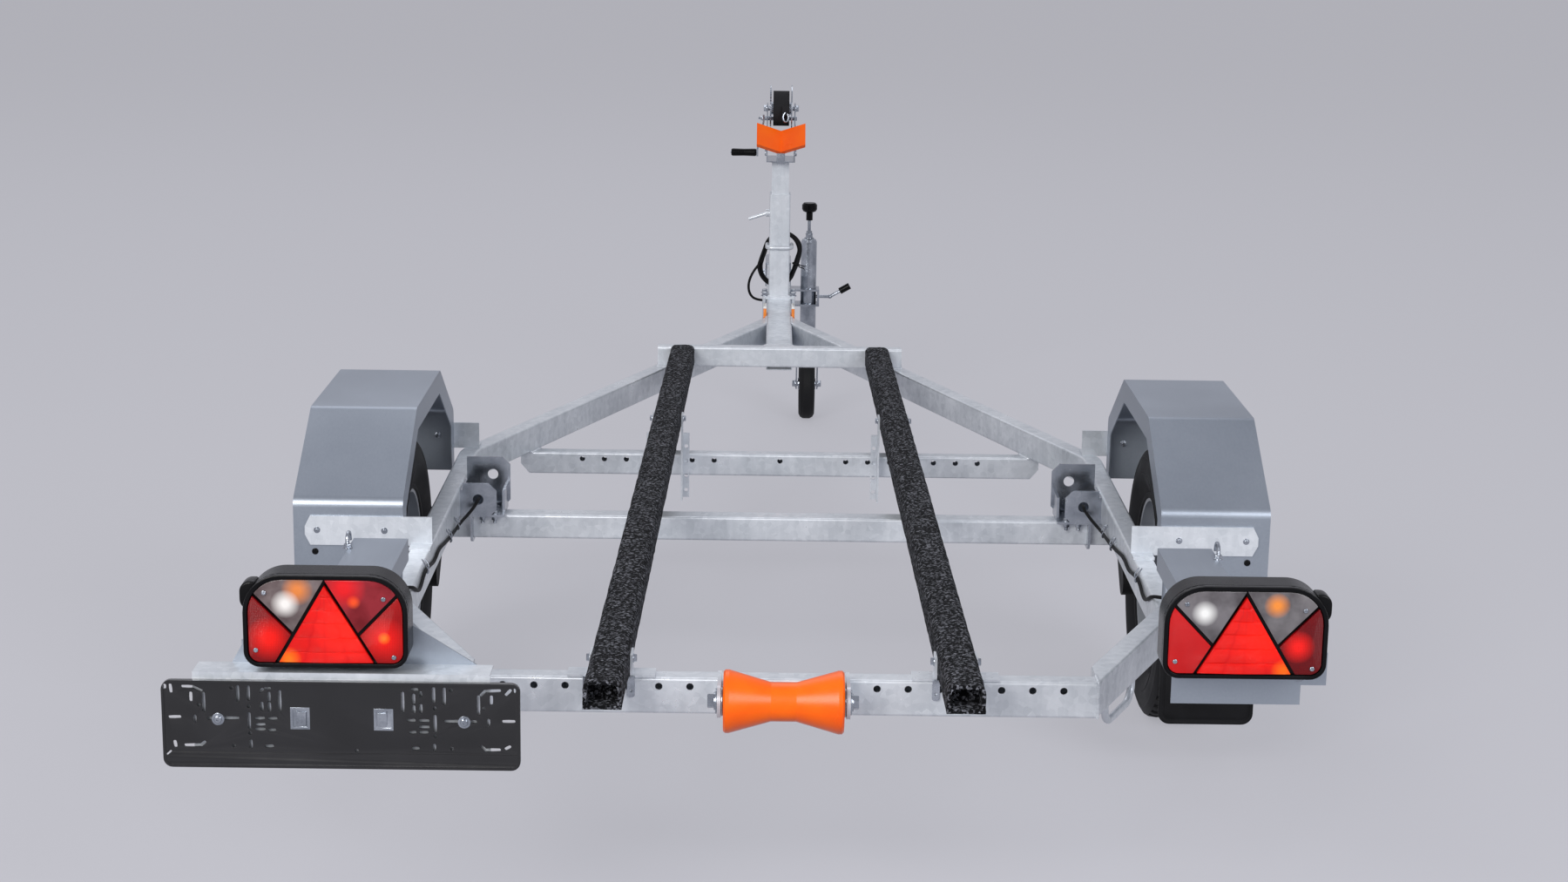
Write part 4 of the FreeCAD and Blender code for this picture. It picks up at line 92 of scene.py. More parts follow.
class Finish:
    # one material: its shader, and the patterns that feed it
    def __init__(self, name, **fixed):
        self.material = bpy.data.materials.new(name)
        self.material.use_nodes = True
        self.tree = self.material.node_tree
        self.tree.nodes.clear()
        shader = self.tree.nodes.new("ShaderNodeBsdfPrincipled")
        output = self.tree.nodes.new("ShaderNodeOutputMaterial")
        self.tree.links.new(shader.outputs[0], output.inputs[0])
        self.shader = shader
        for key, value in fixed.items():
            shader.inputs[key.replace("_", " ")].default_value = value

    def add(self, kind, settings=None, inputs=None, out=0):
        node = self.tree.nodes.new(kind)
        for key, value in (settings or {}).items():
            setattr(node, key, value)
        for key, value in (inputs or {}).items():
            if isinstance(value, Wire):
                self.tree.links.new(value.socket, node.inputs[key])
            else:
                node.inputs[key].default_value = value
        return Wire(self, node.outputs[out])

    def place(self, scale=(1, 1, 1), centre=(0, 0, 0)):
        start = self.add("ShaderNodeTexCoord", out="Object")
        return self.add("ShaderNodeMapping", {"vector_type": "TEXTURE"},
                        {"Vector": start, "Location": centre, "Scale": scale})

    def noise(self, scale, detail, place=None, roughness=0.5):
        return self.add("ShaderNodeTexNoise", None, {"Vector": place or self.place(), "Scale": scale,
                                                     "Detail": detail, "Roughness": roughness})

    def cells(self, scale, out="Color"):
        return self.add("ShaderNodeTexVoronoi", None, {"Vector": self.place(), "Scale": scale}, out=out)

    def ramp(self, wire, low, high):
        # 0 below low, 1 above high
        return self.add("ShaderNodeMapRange", {"clamp": True}, {"Value": wire, "From Min": low, "From Max": high})

    def cloud(self, scale, detail, low, high, roughness=0.5):
        return self.ramp(self.noise(scale, detail, roughness=roughness), low, high)

    def mix(self, share, first, second):
        return self.add("ShaderNodeMix", {"data_type": "RGBA"}, {0: share, 6: first, 7: second}, out=2)

    def tone(self, share, first, second):
        # from the first tone to the second, both as 0 to 255
        return self.mix(share, linear(*first), linear(*second))

    def feed(self, **wires):
        for key, wire in wires.items():
            self.tree.links.new(wire.socket, self.shader.inputs[key.replace("_", " ")])

    def bump(self, height, distance):
        self.feed(Normal=self.add("ShaderNodeBump", None, {"Height": height, "Distance": distance, "Strength": 1.0}))


finishes = {}


def galvanised():
    # hot dip zinc: pale and cloudy, with flat crystals a few millimetres wide
    look = {"pale": (232, 236, 242), "dull": (178, 184, 192), "crystal": 90.0, "cloud": 7.0}
    finish = Finish("galvanised", Metallic=0.5)
    crystal = finish.cells(look["crystal"])
    cloud = finish.cloud(look["cloud"], 5.0, 0.32, 0.68, roughness=0.62)
    run = finish.ramp(finish.noise(1.0, 3.0, finish.place(scale=(0.02, 0.02, 0.16))), 0.4, 0.7)
    share = cloud * 0.5 + crystal * 0.34 + run * 0.2
    colour = finish.tone(share, look["dull"], look["pale"])
    finish.feed(Base_Color=colour, Roughness=0.44 - share * 0.2)
    finish.bump(finish.noise(420.0, 3.0) * 0.3 + crystal * 0.2 + cloud * 0.5, 0.0004)
    return finish.material


def sheetSteel():
    # rolled and galvanised sheet of the mudguards, with a fine grain and hardly any crystals
    look = {"pale": (164, 171, 181), "dull": (142, 150, 161)}
    finish = Finish("sheetSteel", Metallic=0.85)
    cloud = finish.cloud(3.2, 4.0, 0.3, 0.7)
    grain = finish.noise(1.0, 3.0, finish.place(scale=(0.004, 0.09, 0.004)))
    colour = finish.tone(cloud * 0.6 + grain * 0.4, look["dull"], look["pale"])
    finish.feed(Base_Color=colour, Roughness=0.32 + cloud * 0.08 + grain * 0.06)
    finish.bump(grain * 0.4 + finish.noise(300.0, 2.0) * 0.6, 0.00012)
    return finish.material


def brightZinc():
    # plated brackets, bolts and the jockey wheel's tubes
    look = {"pale": (190, 195, 203), "dull": (128, 134, 143)}
    finish = Finish("brightZinc", Metallic=0.95)
    cloud = finish.cloud(26.0, 4.0, 0.3, 0.7)
    speck = finish.cells(520.0)
    colour = finish.tone(cloud * 0.7 + speck * 0.3, look["dull"], look["pale"])
    finish.feed(Base_Color=colour, Roughness=0.15 + cloud * 0.1 + speck * 0.05)
    finish.bump(finish.noise(600.0, 2.0), 0.00008)
    return finish.material


def tyreRubber():
    finish = Finish("tyreRubber", Specular_IOR_Level=0.22)
    dust = finish.cloud(14.0, 5.0, 0.35, 0.75)
    fine = finish.noise(500.0, 3.0)
    colour = finish.tone(dust * 0.5 + fine * 0.2, (10, 10, 12), (30, 31, 34))
    finish.feed(Base_Color=colour, Roughness=0.62 + dust * 0.14)
    finish.bump(fine, 0.0002)
    return finish.material


def blackPlastic():
    finish = Finish("blackPlastic", Specular_IOR_Level=0.15)
    grain = finish.cells(900.0, out="Distance")
    patch = finish.cloud(18.0, 4.0, 0.4, 0.8)
    finish.feed(Base_Color=finish.tone(patch, (4, 4, 6), (13, 13, 15)), Roughness=0.2 + patch * 0.14)
    finish.bump(grain, 0.00006)
    return finish.material


def orangePlastic():
    # cast polyurethane of the keel roller and the bow pad
    finish = Finish("orangePlastic", Subsurface_Weight=0.04, Subsurface_Scale=0.01, Specular_IOR_Level=0.35)
    cloud = finish.cloud(12.0, 4.0, 0.3, 0.75)
    fine = finish.noise(330.0, 3.0)
    finish.feed(Base_Color=finish.tone(cloud, (240, 88, 0), (250, 108, 2)), Roughness=0.26 + cloud * 0.12)
    finish.bump(fine * 0.5 + cloud * 0.5, 0.0003)
    return finish.material


def carpet():
    # needle felt on the bunks: black with pale fibres
    finish = Finish("carpet", Specular_IOR_Level=0.15, Roughness=0.95)
    fibre = finish.noise(330.0, 6.0, roughness=0.75)
    tuft = finish.cells(420.0, out="Distance")
    speck = finish.ramp(finish.noise(230.0, 4.0, roughness=0.7) * 0.6 + finish.cells(260.0) * 0.4, 0.52, 0.72)
    finish.feed(Base_Color=finish.tone(speck, (10, 11, 14), (132, 134, 144)))
    finish.bump(fibre * 0.6 + tuft * 0.4, 0.003)
    return finish.material


# each field of the rear lamps: dark and light tone of its prisms, their pitch, and its painted glow spots (painted
# highlight of the reflector behind the lens, also given off as a faint emission though the lamp is unlit) as place
# across and up from the lamp's lower middle, reach and colour
lensLooks = {
    **{f"redTriangle{word}": ((196, 8, 8), (250, 26, 14), 0.0011, (((0.030, 0.060), 0.050, (255, 30, 12)), low))
       for word, low in (("Left", ((-0.055, 0.012), 0.020, (255, 120, 10))),
                         ("Right", ((0.058, 0.012), 0.020, (255, 110, 12))))},
    "clearAmberLeft": ((74, 60, 62), (196, 184, 184), 0.0026, (((-0.040, 0.118), 0.024, (236, 132, 40)),
                                                              ((-0.058, 0.097), 0.022, (255, 252, 250)))),
    "clearWhiteRight": ((64, 60, 64), (186, 182, 188), 0.0026, (((-0.062, 0.100), 0.020, (255, 255, 255)),)),
    "clearAmberRight": ((66, 62, 66), (190, 186, 190), 0.0026, (((0.044, 0.113), 0.020, (255, 146, 20)),)),
    "redPrismLeft": ((98, 10, 18), (206, 70, 84), 0.0026, (((0.042, 0.101), 0.011, (255, 96, 30)),
                                                          ((0.028, 0.122), 0.034, (236, 20, 24)))),
    "redGlowOuterLeft": ((96, 2, 6), (150, 8, 12), 0.0020, (((-0.084, 0.044), 0.034, (246, 24, 12)),)),
    "redGlowInnerLeft": ((120, 4, 6), (168, 10, 12), 0.0020, (((0.086, 0.044), 0.036, (236, 20, 12)),
                                                             ((0.086, 0.046), 0.010, (255, 120, 24)))),
    "redPlainRight": ((176, 12, 16), (212, 28, 30), 0.0012, ()),
    "redDarkRight": ((78, 2, 8), (120, 6, 12), 0.0020, (((0.078, 0.050), 0.026, (244, 28, 22)),)),
}


def lensLook(name):
    deep, bright, pitch, paintedGlows = lensLooks[name]
    side = -1 if name.endswith("Left") else 1
    finish = Finish(name, Roughness=0.14, Coat_Weight=0.15, Specular_IOR_Level=0.2, Emission_Strength=0.16)
    place = finish.place(scale=(pitch, pitch, pitch))
    prism = finish.add("ShaderNodeTexVoronoi", {"distance": "CHEBYCHEV"},
                       {"Vector": place, "Scale": 1.0, "Randomness": 0.0}, out="Distance")
    facet = finish.ramp(prism, 0.12, 0.5)
    cloud = finish.cloud(26.0, 3.0, 0.35, 0.7)
    colour = finish.tone(facet * 0.75 + cloud * 0.25, bright, deep)
    # painted glow: each spot mixes painted highlight into the colour and feeds the same tone to the emission, so the
    # unlit lamp glows
    paintedGlowColour = finish.mix(0.0, (0, 0, 0, 1), (0, 0, 0, 1))
    for (x, z), reach, tone in paintedGlows:
        centre = (side * lamp["centre"] + x, lamp["glow"], lamp["low"] + z)
        away = finish.add("ShaderNodeVectorMath", {"operation": "LENGTH"}, {0: finish.place(centre=centre)},
                          out="Value")
        share = finish.ramp(away, reach, reach * 0.2) * (1.0 - facet * 0.35)
        colour = finish.mix(share, colour, linear(*tone))
        paintedGlowColour = finish.mix(share, paintedGlowColour, linear(*tone))
    finish.feed(Base_Color=colour, Emission_Color=paintedGlowColour)
    finish.bump(prism, 0.0008)
    return finish.material


def lens(name, deep, bright):
    # small lenses of the side markers
    finish = Finish(name, Roughness=0.16, Coat_Weight=0.5)
    ribs = finish.add("ShaderNodeTexWave", {"wave_type": "BANDS", "bands_direction": "Z"},
                      {"Vector": finish.place(), "Scale": 120.0})
    cloud = finish.cloud(24.0, 3.0, 0.35, 0.7)
    finish.feed(Base_Color=finish.tone(ribs * 0.5 + cloud * 0.5, bright, deep))
    finish.bump(ribs, 0.0004)
    return finish.material


def webbing():
    finish = Finish("webbing", Specular_IOR_Level=0.25, Roughness=0.82)
    weave = finish.add("ShaderNodeTexWave", {"wave_type": "BANDS", "bands_direction": "X"},
                       {"Vector": finish.place(), "Scale": 130.0, "Distortion": 1.5})
    finish.feed(Base_Color=finish.tone(weave, (14, 14, 16), (40, 40, 44)))
    finish.bump(weave, 0.0004)
    return finish.material


# plain finishes: their cloud, its two tones, the roughness and what the cloud adds to it, the grain and its depth
plainLooks = {
    "rimPaint": ((8.0, 4.0, 0.3, 0.7), (150, 155, 162), (186, 190, 197), (0.34, 0.1), (350.0, 2.0), 0.0001,
                 {"Metallic": 0.5}),
    "blackRubber": ((16.0, 5.0, 0.35, 0.75), (8, 8, 10), (24, 24, 27), (0.55, 0.2), (260.0, 3.0), 0.0003,
                    {"Specular_IOR_Level": 0.18}),
    "holderPlastic": ((9.0, 4.0, 0.35, 0.75), (9, 9, 11), (20, 20, 23), (0.16, 0.12), (60.0, 2.0), 0.0001,
                      {"Coat_Weight": 0.3}),
}
# solids that aren't galvanised, by how their names start
wearing = {
    "sheetSteel": ("mudguard_left", "mudguard_right", "lamp_carrier"),
    "brightZinc": ("axle_brackets", "hub_", "winch_frame", "winch_drum", "winch_crank", "jockey_", "coupling_lever",
                   "coupling_head"),
    "tyreRubber": ("tyre_", "jockey_tyre"),
    "rimPaint": ("rim_",),
    "blackPlastic": ("lamp_left", "lamp_right", "plate_holder", "winch_grip", "jockey_knobs", "supply_gland",
                     "supply_plug"),
    "blackRubber": ("mudflap_", "axle_arm_", "supply_lead", "supply_hank"),
    "orangePlastic": ("keel_roller", "bow_stop"),
    "carpet": ("bunk_left", "bunk_right"),
    "redLens": ("lamp_lens_",),
    "amberLens": ("side_markers",),
    "webbing": ("winch_strap",),
}


def plainFinish(name):
    cloud, dark, pale, rough, grain, depth, fixed = plainLooks[name]
    finish = Finish(name, **fixed)
    patch = finish.cloud(*cloud)
    finish.feed(Base_Color=finish.tone(patch, dark, pale), Roughness=rough[0] + patch * rough[1])
    finish.bump(finish.noise(*grain), depth)
    return finish.material


def paintNodes():
    for make in (galvanised, sheetSteel, brightZinc, tyreRubber, blackPlastic, orangePlastic, carpet, webbing):
        finishes[make.__name__] = make()
    for names, make in ((plainLooks, plainFinish), (lensLooks, lensLook)):
        for name in names:
            finishes[name] = make(name)
    for name, deep, bright in (("redLens", (150, 6, 8), (238, 22, 16)), ("amberLens", (196, 84, 8), (255, 150, 30)),
                               ("paleLens", (206, 206, 204), (246, 246, 244))):
        finishes[name] = lens(name, deep, bright)
    for name, item in nodes.items():
        fits = [(len(start), look) for look, starts in wearing.items() for start in starts if name.startswith(start)]
        wear(item, max(fits, key=lambda fit: fit[0], default=(0, "galvanised"))[1])
    print("finishes made:", len(finishes))


def shaderNode(tree, kind, colour, strength=None):
    node = tree.nodes.new(kind)
    node.inputs["Color"].default_value = colour
    if strength is not None:
        node.inputs["Strength"].default_value = strength
    return node


def seenDirectly(tree):
    # 1 for what the camera, a mirror or a glass sees, and 0 for the light that falls on things
    path = tree.nodes.new("ShaderNodeLightPath")
    total = path.outputs["Is Camera Ray"]
    for name in ("Is Glossy Ray", "Is Transmission Ray"):
        larger = tree.nodes.new("ShaderNodeMath")
        larger.operation = "MAXIMUM"
        tree.links.new(total, larger.inputs[0])
        tree.links.new(path.outputs[name], larger.inputs[1])
        total = larger.outputs[0]
    return total


def showTwo(tree, kind, falling, seen):
    # one shader for the light that falls on things and another for what is seen
    mixer = tree.nodes.new("ShaderNodeMixShader")
    for socket, wire in zip(mixer.inputs, (seenDirectly(tree), falling, seen)):
        tree.links.new(wire, socket)
    tree.links.new(mixer.outputs[0], tree.nodes.new(kind).inputs[0])


def makeStudio():
    tone = linear(*studio["background"])
    world = bpy.data.worlds.new("studioWorld")
    bpy.context.scene.world = world
    world.use_nodes = True
    tree = world.node_tree
    tree.nodes.clear()
    shine = shaderNode(tree, "ShaderNodeBackground", (1, 1, 1, 1), studio["skyLight"])
    showTwo(tree, "ShaderNodeOutputWorld", shine.outputs[0], shaderNode(tree, "ShaderNodeBackground", tone).outputs[0])

    def share(key):
        return [value * studio[key] for value in tone[:3]] + [1]

    bpy.ops.mesh.primitive_plane_add(size=studio["floorSize"], location=(0, 0, 0))
    floor = bpy.context.object
    floor.name = "studioFloor"
    paint = bpy.data.materials.new("studioFloor")
    paint.use_nodes = True
    tree = paint.node_tree
    tree.nodes.clear()
    both = tree.nodes.new("ShaderNodeAddShader")
    tree.links.new(shaderNode(tree, "ShaderNodeEmission", tone, studio["floorGlow"]).outputs[0], both.inputs[0])
    tree.links.new(shaderNode(tree, "ShaderNodeBsdfDiffuse", share("floorPaint")).outputs[0], both.inputs[1])
    plain = shaderNode(tree, "ShaderNodeBsdfDiffuse", share("floorBounce"))
    showTwo(tree, "ShaderNodeOutputMaterial", plain.outputs[0], both.outputs[0])
    floor.data.materials.append(paint)

    for name, place, size, power, colour in studio["lamps"]:
        bpy.ops.object.light_add(type="AREA", location=place)
        light = bpy.context.object
        light.name = name
        light.data.shape = "SQUARE"
        light.data.size = size
        light.data.energy = power
        light.data.color = linear(*colour)[:3]
        toAim = Vector(studio["aim"]) - Vector(place)
        light.rotation_euler = toAim.to_track_quat("-Z", "Y").to_euler()
    print("studio made")


def makeCamera():
    bpy.ops.object.camera_add(location=cameraSetting["place"])
    camera = bpy.context.object
    camera.name = "photoCamera"
    camera.data.lens = cameraSetting["lens"]
    camera.data.sensor_width = 36
    yaw, pitch, roll = (math.radians(cameraSetting[key]) for key in ("yaw", "pitch", "roll"))
    forward = Vector((math.sin(yaw) * math.cos(pitch), math.cos(yaw) * math.cos(pitch), -math.sin(pitch)))
    levelRight = Vector((math.cos(yaw), -math.sin(yaw), 0))
    levelUp = levelRight.cross(forward)
    right = levelRight * math.cos(roll) + levelUp * math.sin(roll)
    up = levelUp * math.cos(roll) - levelRight * math.sin(roll)
    camera.rotation_euler = Matrix((right, up, -forward)).transposed().to_euler()
    bpy.context.scene.camera = camera
    bpy.context.scene.view_settings.view_transform = "Standard"
    print("camera set")


def leaveEdit():
    if bpy.context.object and bpy.context.object.mode != "OBJECT":
        bpy.ops.object.mode_set(mode="OBJECT")


def startFresh():
    leaveEdit()
    bpy.ops.object.select_all(action="DESELECT")


def chooseOnly(*items):
    startFresh()
    for item in items:
        item.select_set(True)
    bpy.context.view_layer.objects.active = items[0]


def settle(item):
    # puts the object's place, turn and size into its mesh
    chooseOnly(item)
    bpy.ops.object.transform_apply(location=True, rotation=True, scale=True)
    return item


def newBlock(low, high):
    startFresh()
    bpy.ops.mesh.primitive_cube_add(size=1, location=[(a + b) / 2 for a, b in zip(low, high)])
    bpy.context.object.scale = [b - a for a, b in zip(low, high)]
    return settle(bpy.context.object)


def newRound(radius, length, corners, base=0.0):
    # an upright round or prism that stands on base
    startFresh()
    bpy.ops.mesh.primitive_cylinder_add(vertices=corners, radius=radius, depth=length,
                                        location=(0, 0, base + length / 2))
    return settle(bpy.context.object)


def pick(item, faces=None, edges=None, points=None):
    # opens the item with its faces, edges or points chosen by their place and direction
    chooseOnly(item)
    kind = "FACE" if faces else ("EDGE" if edges else "VERT")
    bpy.ops.object.mode_set(mode="EDIT")
    bpy.ops.mesh.select_mode(type=kind)
    bpy.ops.mesh.select_all(action="DESELECT")
    bpy.ops.object.mode_set(mode="OBJECT")
    mesh = item.data
    if faces:
        for face in mesh.polygons:
            face.select = bool(faces(face.center, face.normal))
    elif edges:
        for edge in mesh.edges:
            start, end = (mesh.vertices[index].co for index in edge.vertices)
            edge.select = bool(edges((start + end) / 2, (end - start).normalized()))
    else:
        for point in mesh.vertices:
            point.select = bool(points(point.co))
    bpy.ops.object.mode_set(mode="EDIT")


def push(y):
    bpy.ops.mesh.extrude_region_move(TRANSFORM_OT_translate={"value": (0, y, 0)})


def sink(item, faces, y, margin=0.0):
    # moves faces along Y between new walls, and leaves a rim of that margin round them
    pick(item, faces=faces)
    if margin:
        bpy.ops.mesh.inset(thickness=margin)
    push(y)
    leaveEdit()
    return item


def bend(item, faces, margin, x, z):
    # makes an end face smaller and moves it
    pick(item, faces=faces)
    bpy.ops.mesh.inset(thickness=margin)
    bpy.ops.transform.translate(value=(x, 0, z))
    leaveEdit()
    return item


def shift(item, points, x=0.0, y=0.0, z=0.0):
    pick(item, points=points)
    bpy.ops.transform.translate(value=(x, y, z))
    leaveEdit()
    return item


def swell(item, points, x, y, z):
    pick(item, points=points)
    bpy.ops.transform.resize(value=(x, y, z), center_override=(0, 0, 0))
    leaveEdit()
    return item


def everything(*place):
    return True


def facesBack(middle, normal):
    return normal.y < -0.9


def alongY(middle, way):
    return abs(way.y) > 0.9


def roundEdges(item, edges, width, steps):
    pick(item, edges=edges)
    bpy.ops.mesh.bevel(offset=width, segments=steps, affect="EDGES", clamp_overlap=True)
    leaveEdit()
    return item


def topRound(item, level, width, steps=2):
    # rounds the upper edges of an upright piece
    return roundEdges(item, lambda middle, way: abs(way.z) < 0.1 and middle.z > level, width, steps)


def cut(item, place, away, remove=True):
    # cuts off what lies beyond a plane and closes the cut, or only adds edges there
    pick(item, faces=everything)
    bpy.ops.mesh.bisect(plane_co=place, plane_no=away, use_fill=remove, clear_outer=remove)
    leaveEdit()
    return item


def crease(item, axis, *levels):
    # adds a line of edges round the item at each level
    way = Vector([float(letter == axis) for letter in "xyz"])
    for level in levels:
        cut(item, way * level, way, False)
    return item


def apply(item, kind, **settings):
    chooseOnly(item)
    modifier = item.modifiers.new(kind.lower(), kind)
    for key, value in settings.items():
        setattr(modifier, key, value)
    bpy.ops.object.modifier_apply(modifier=modifier.name)
    return item


def soften(item, width, steps=2, angle=30):
    return apply(item, "BEVEL", width=width, segments=steps, limit_method="ANGLE", angle_limit=math.radians(angle))


def carve(item, tool):
    apply(item, "BOOLEAN", operation="DIFFERENCE", solver="EXACT", use_self=True, object=tool)
    drop(tool)
    return item


def copyOf(item, matrix):
    twin = item.copy()
    twin.data = item.data.copy()
    bpy.context.collection.objects.link(twin)
    twin.data.transform(matrix)
    return twin


def joined(items):
    chooseOnly(*items)
    if len(items) > 1:
        bpy.ops.object.join()
    return bpy.context.object


def outwards(item):
    pick(item, faces=everything)
    bpy.ops.mesh.remove_doubles(threshold=0.00001)
    bpy.ops.mesh.select_all(action="SELECT")
    bpy.ops.mesh.normals_make_consistent(inside=False)
    leaveEdit()
    return item


def wear(item, look):
    item.data.materials.clear()
    item.data.materials.append(finishes[look])
    return item


def hand(item, name, look, body="frame", sharp=35):
    # gives a finished piece its name, its finish and the body that it rides on
    leaveEdit()
    item.name = name
    item.data.name = name
    wear(item, look)
    chooseOnly(item)
    bpy.ops.object.shade_smooth_by_angle(angle=math.radians(sharp))
    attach(item, body)
    return item


def drop(*items):
    for item in items:
        bpy.data.objects.remove(item, do_unlink=True)


def towards(direction):
    # turns a master that points up +Z so that it points along a direction
    return Vector(direction).to_track_quat("Z", "Y").to_matrix().to_4x4()


def putCopies(master, places):
    # places are (x, y, z, direction) or (x, y, z, direction, size)
    copies = []
    for x, y, z, direction, *size in places:
        grow = Matrix.Scale(size[0] if size else 1.0, 4)
        copies.append(copyOf(master, Matrix.Translation((x, y, z)) @ towards(direction) @ grow))
    return copies


def smoothLine(name, points, radius):
    curve = bpy.data.curves.new(name, "CURVE")
    curve.dimensions = "3D"
    curve.bevel_depth = radius
    curve.bevel_resolution = 3
    curve.use_fill_caps = True
    spline = curve.splines.new("NURBS")
    spline.points.add(len(points) - 1)
    for point, place in zip(spline.points, points):
        point.co = (*place, 1)
    spline.order_u = 3
    spline.use_endpoint_u = True
    spline.resolution_u = 8
    item = bpy.data.objects.new(name, curve)
    bpy.context.collection.objects.link(item)
    return item


def pipe(points, radius):
    # a bent bar along points, as a mesh
    item = smoothLine("bentBar", points, radius)
    chooseOnly(item)
    bpy.ops.object.convert(target="MESH")
    return bpy.context.object


# supply lead: out of its gland, four turns of the hank, and down into the plug
lead = {
    "radius": 0.00375,
    "rise": ((-0.047, 1.560, 0.425), (-0.070, 1.559, 0.427), (-0.086, 1.552, 0.445), (-0.090, 1.543, 0.471),
             (-0.084, 1.532, 0.498), (-0.071, 1.523, 0.523)),
    "fall": ((-0.0372, 1.5205, 0.5883), (-0.0297, 1.522, 0.5985), (-0.0175, 1.524, 0.6015), (-0.0068, 1.5253, 0.5955),
             (-0.0030, 1.5253, 0.5830), (-0.005, 1.5253, 0.568)),
    "hankMiddle": (0.002, 1.520, 0.556),
    "hankWidth": 0.050,
    "hankHeight": 0.078,
    "lean": 18.0,
    "turns": 4,
    "pointsPerTurn": 20,
    "stack": ((-0.0038, -0.0038), (0.0038, -0.0038), (0.0038, 0.0038), (-0.0038, 0.0038)),
    "length": 1.98,
    "slack": 0.0012,
    "tieRadius": 0.0108,
    "tieWire": 0.0013,
    "tieTall": 2,
    "tiePlace": (0.0495, 1.520, 0.5405),
    "tieEnds": (0.003, -0.003),
    "tieEnd": ((0.0085, -0.0125), (0.0250, -0.0110), 0.0016),     # two corners and half the height
    "tieBend": (0.0002, 0.004, 1.5),     # margin, reach and spread at the tips
}


def hankPoint(share, outward, deep):
    # a point of the hank's rounded outline, with share 0 at the foot of its left run
    half = lead["hankWidth"]
    run = 2 * (lead["hankHeight"] - half)
    length = run + math.pi * half
    radius = half + outward
    # the right run and the lower bow are the left run and the upper bow turned by half a turn
    turned, way = divmod((share % 1.0) * 2 * length, length)
    if way < run:
        x, z = -radius, way - run / 2
    else:
        angle = math.pi - (way - run) / half
        x, z = radius * math.cos(angle), run / 2 + radius * math.sin(angle)
    if turned:
        x, z = -x, -z
    lean = math.radians(lead["lean"])
    middle = lead["hankMiddle"]
    return (middle[0] + x * math.cos(lean) + z * math.sin(lean), middle[1] + deep,
            middle[2] - x * math.sin(lean) + z * math.cos(lean))


def makeTie():
    # black band round the hank's right run, with its two short ends
    startFresh()
    bpy.ops.mesh.primitive_torus_add(major_segments=28, minor_segments=8, major_radius=lead["tieRadius"],
                                     minor_radius=lead["tieWire"])
    parts = [swell(bpy.context.object, everything, 1, 1, lead["tieTall"])]
    low, high, half = lead["tieEnd"]
    margin, reach, spread = lead["tieBend"]
    for lift in lead["tieEnds"]:
        end = newBlock((*low, lift - half), (*high, lift + half))
        bend(end, lambda middle, normal: normal.x > 0.9, margin, reach, lift * spread)
        parts.append(soften(end, 0.0004))
    tie = joined(parts)
    tie.data.transform(Matrix.Translation(lead["tiePlace"]) @ Matrix.Rotation(math.radians(lead["lean"]), 4, "Y"))
    return hand(tie, "hankTie", "blackPlastic")


def supplyLead():
    points = list(lead["rise"])
    stack, steps = lead["stack"], lead["pointsPerTurn"]
    last = len(stack) - 1
    for step in range(lead["turns"] * steps + 2):
        turn = step / steps
        layer = min(int(turn), last)
        blend = turn - layer if turn < len(stack) else 0.0
        outward, deep = ((1 - blend) * a + blend * b for a, b in zip(stack[layer], stack[min(layer + 1, last)]))
        slack = lead["slack"] * math.sin(2.3 * step) * (layer % 2)
        points.append(hankPoint(turn + 0.02, outward + slack, deep))
    points += lead["fall"]
    cable = smoothLine("supplyCable", points, lead["radius"])
    cable.data.materials.append(finishes["blackRubber"])
    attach(cable, "frame")
    tie = makeTie()
    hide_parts("supply_lead_rise", "supply_lead_drop", "supply_hank")
    print("supply lead wound")


# rear lamps: black rim, fields of lens between black bars, and screws
lamp = {
    "centre": 0.677,
    "halfWidth": 0.121,
    "low": 0.563,
    "high": 0.704,
    "front": -2.400,
    "rimBack": -2.3885,
    "glow": -2.398,           # where the painted glow spots of the lens lie along Y
    "rim": 0.0065,
    "topRound": 0.058,
    "lowRound": 0.024,
    "fieldBack": -2.3915,
    "fieldFront": -2.3985,
    "apex": (-0.001, 0.130),
    "foot": (0.073, 0.0065),
    "bar": 0.0026,            # half the black bar between two fields
    "cornerInner": (0.054, 0.0565),
    "cornerOuter": (0.107, 0.112),
    "ribs": (0.024, 0.046, 0.068, 0.088, 0.108),
    "ridge": 0.0022,
    "floor": 0.002,           # what is left behind the lens
    "gap": 0.0012,            # between the rim and the lens
    "groove": 0.0012,
    "grooveHalf": 0.0006,
    "screwHead": (0.0036, 0.0022),
    "screwCross": (0.0023, 0.0005),
    "screws": ((-0.089, 0.114), (0.086, 0.106), (-0.103, 0.026), (0.100, 0.017)),
}


def lampPlate(centre, margin, back, front):
    # a plate with the lamp's rounded outline
    low = (centre - lamp["halfWidth"] + margin, front, lamp["low"] + margin)
    high = (centre + lamp["halfWidth"] - margin, back, lamp["high"] - margin)
    plate = newBlock(low, high)
    for height, radius in ((high[2], lamp["topRound"]), (low[2], lamp["lowRound"])):
        roundEdges(plate, lambda middle, way: alongY(middle, way) and abs(middle.z - height) < 0.002,
                   radius - margin, 9)
    return plate


def besideLine(start, end, centre):
    # a plane along a line of the lens, half a bar to its left, that keeps what lies left of it
    along = Vector((end[0] - start[0], 0, end[1] - start[1])).normalized()
    away = Vector((along.z, 0, -along.x))
    return Vector((centre + start[0], 0, lamp["low"] + start[1])) - away * lamp["bar"], away


def mirrored(point):
    return (-point[0], point[1])


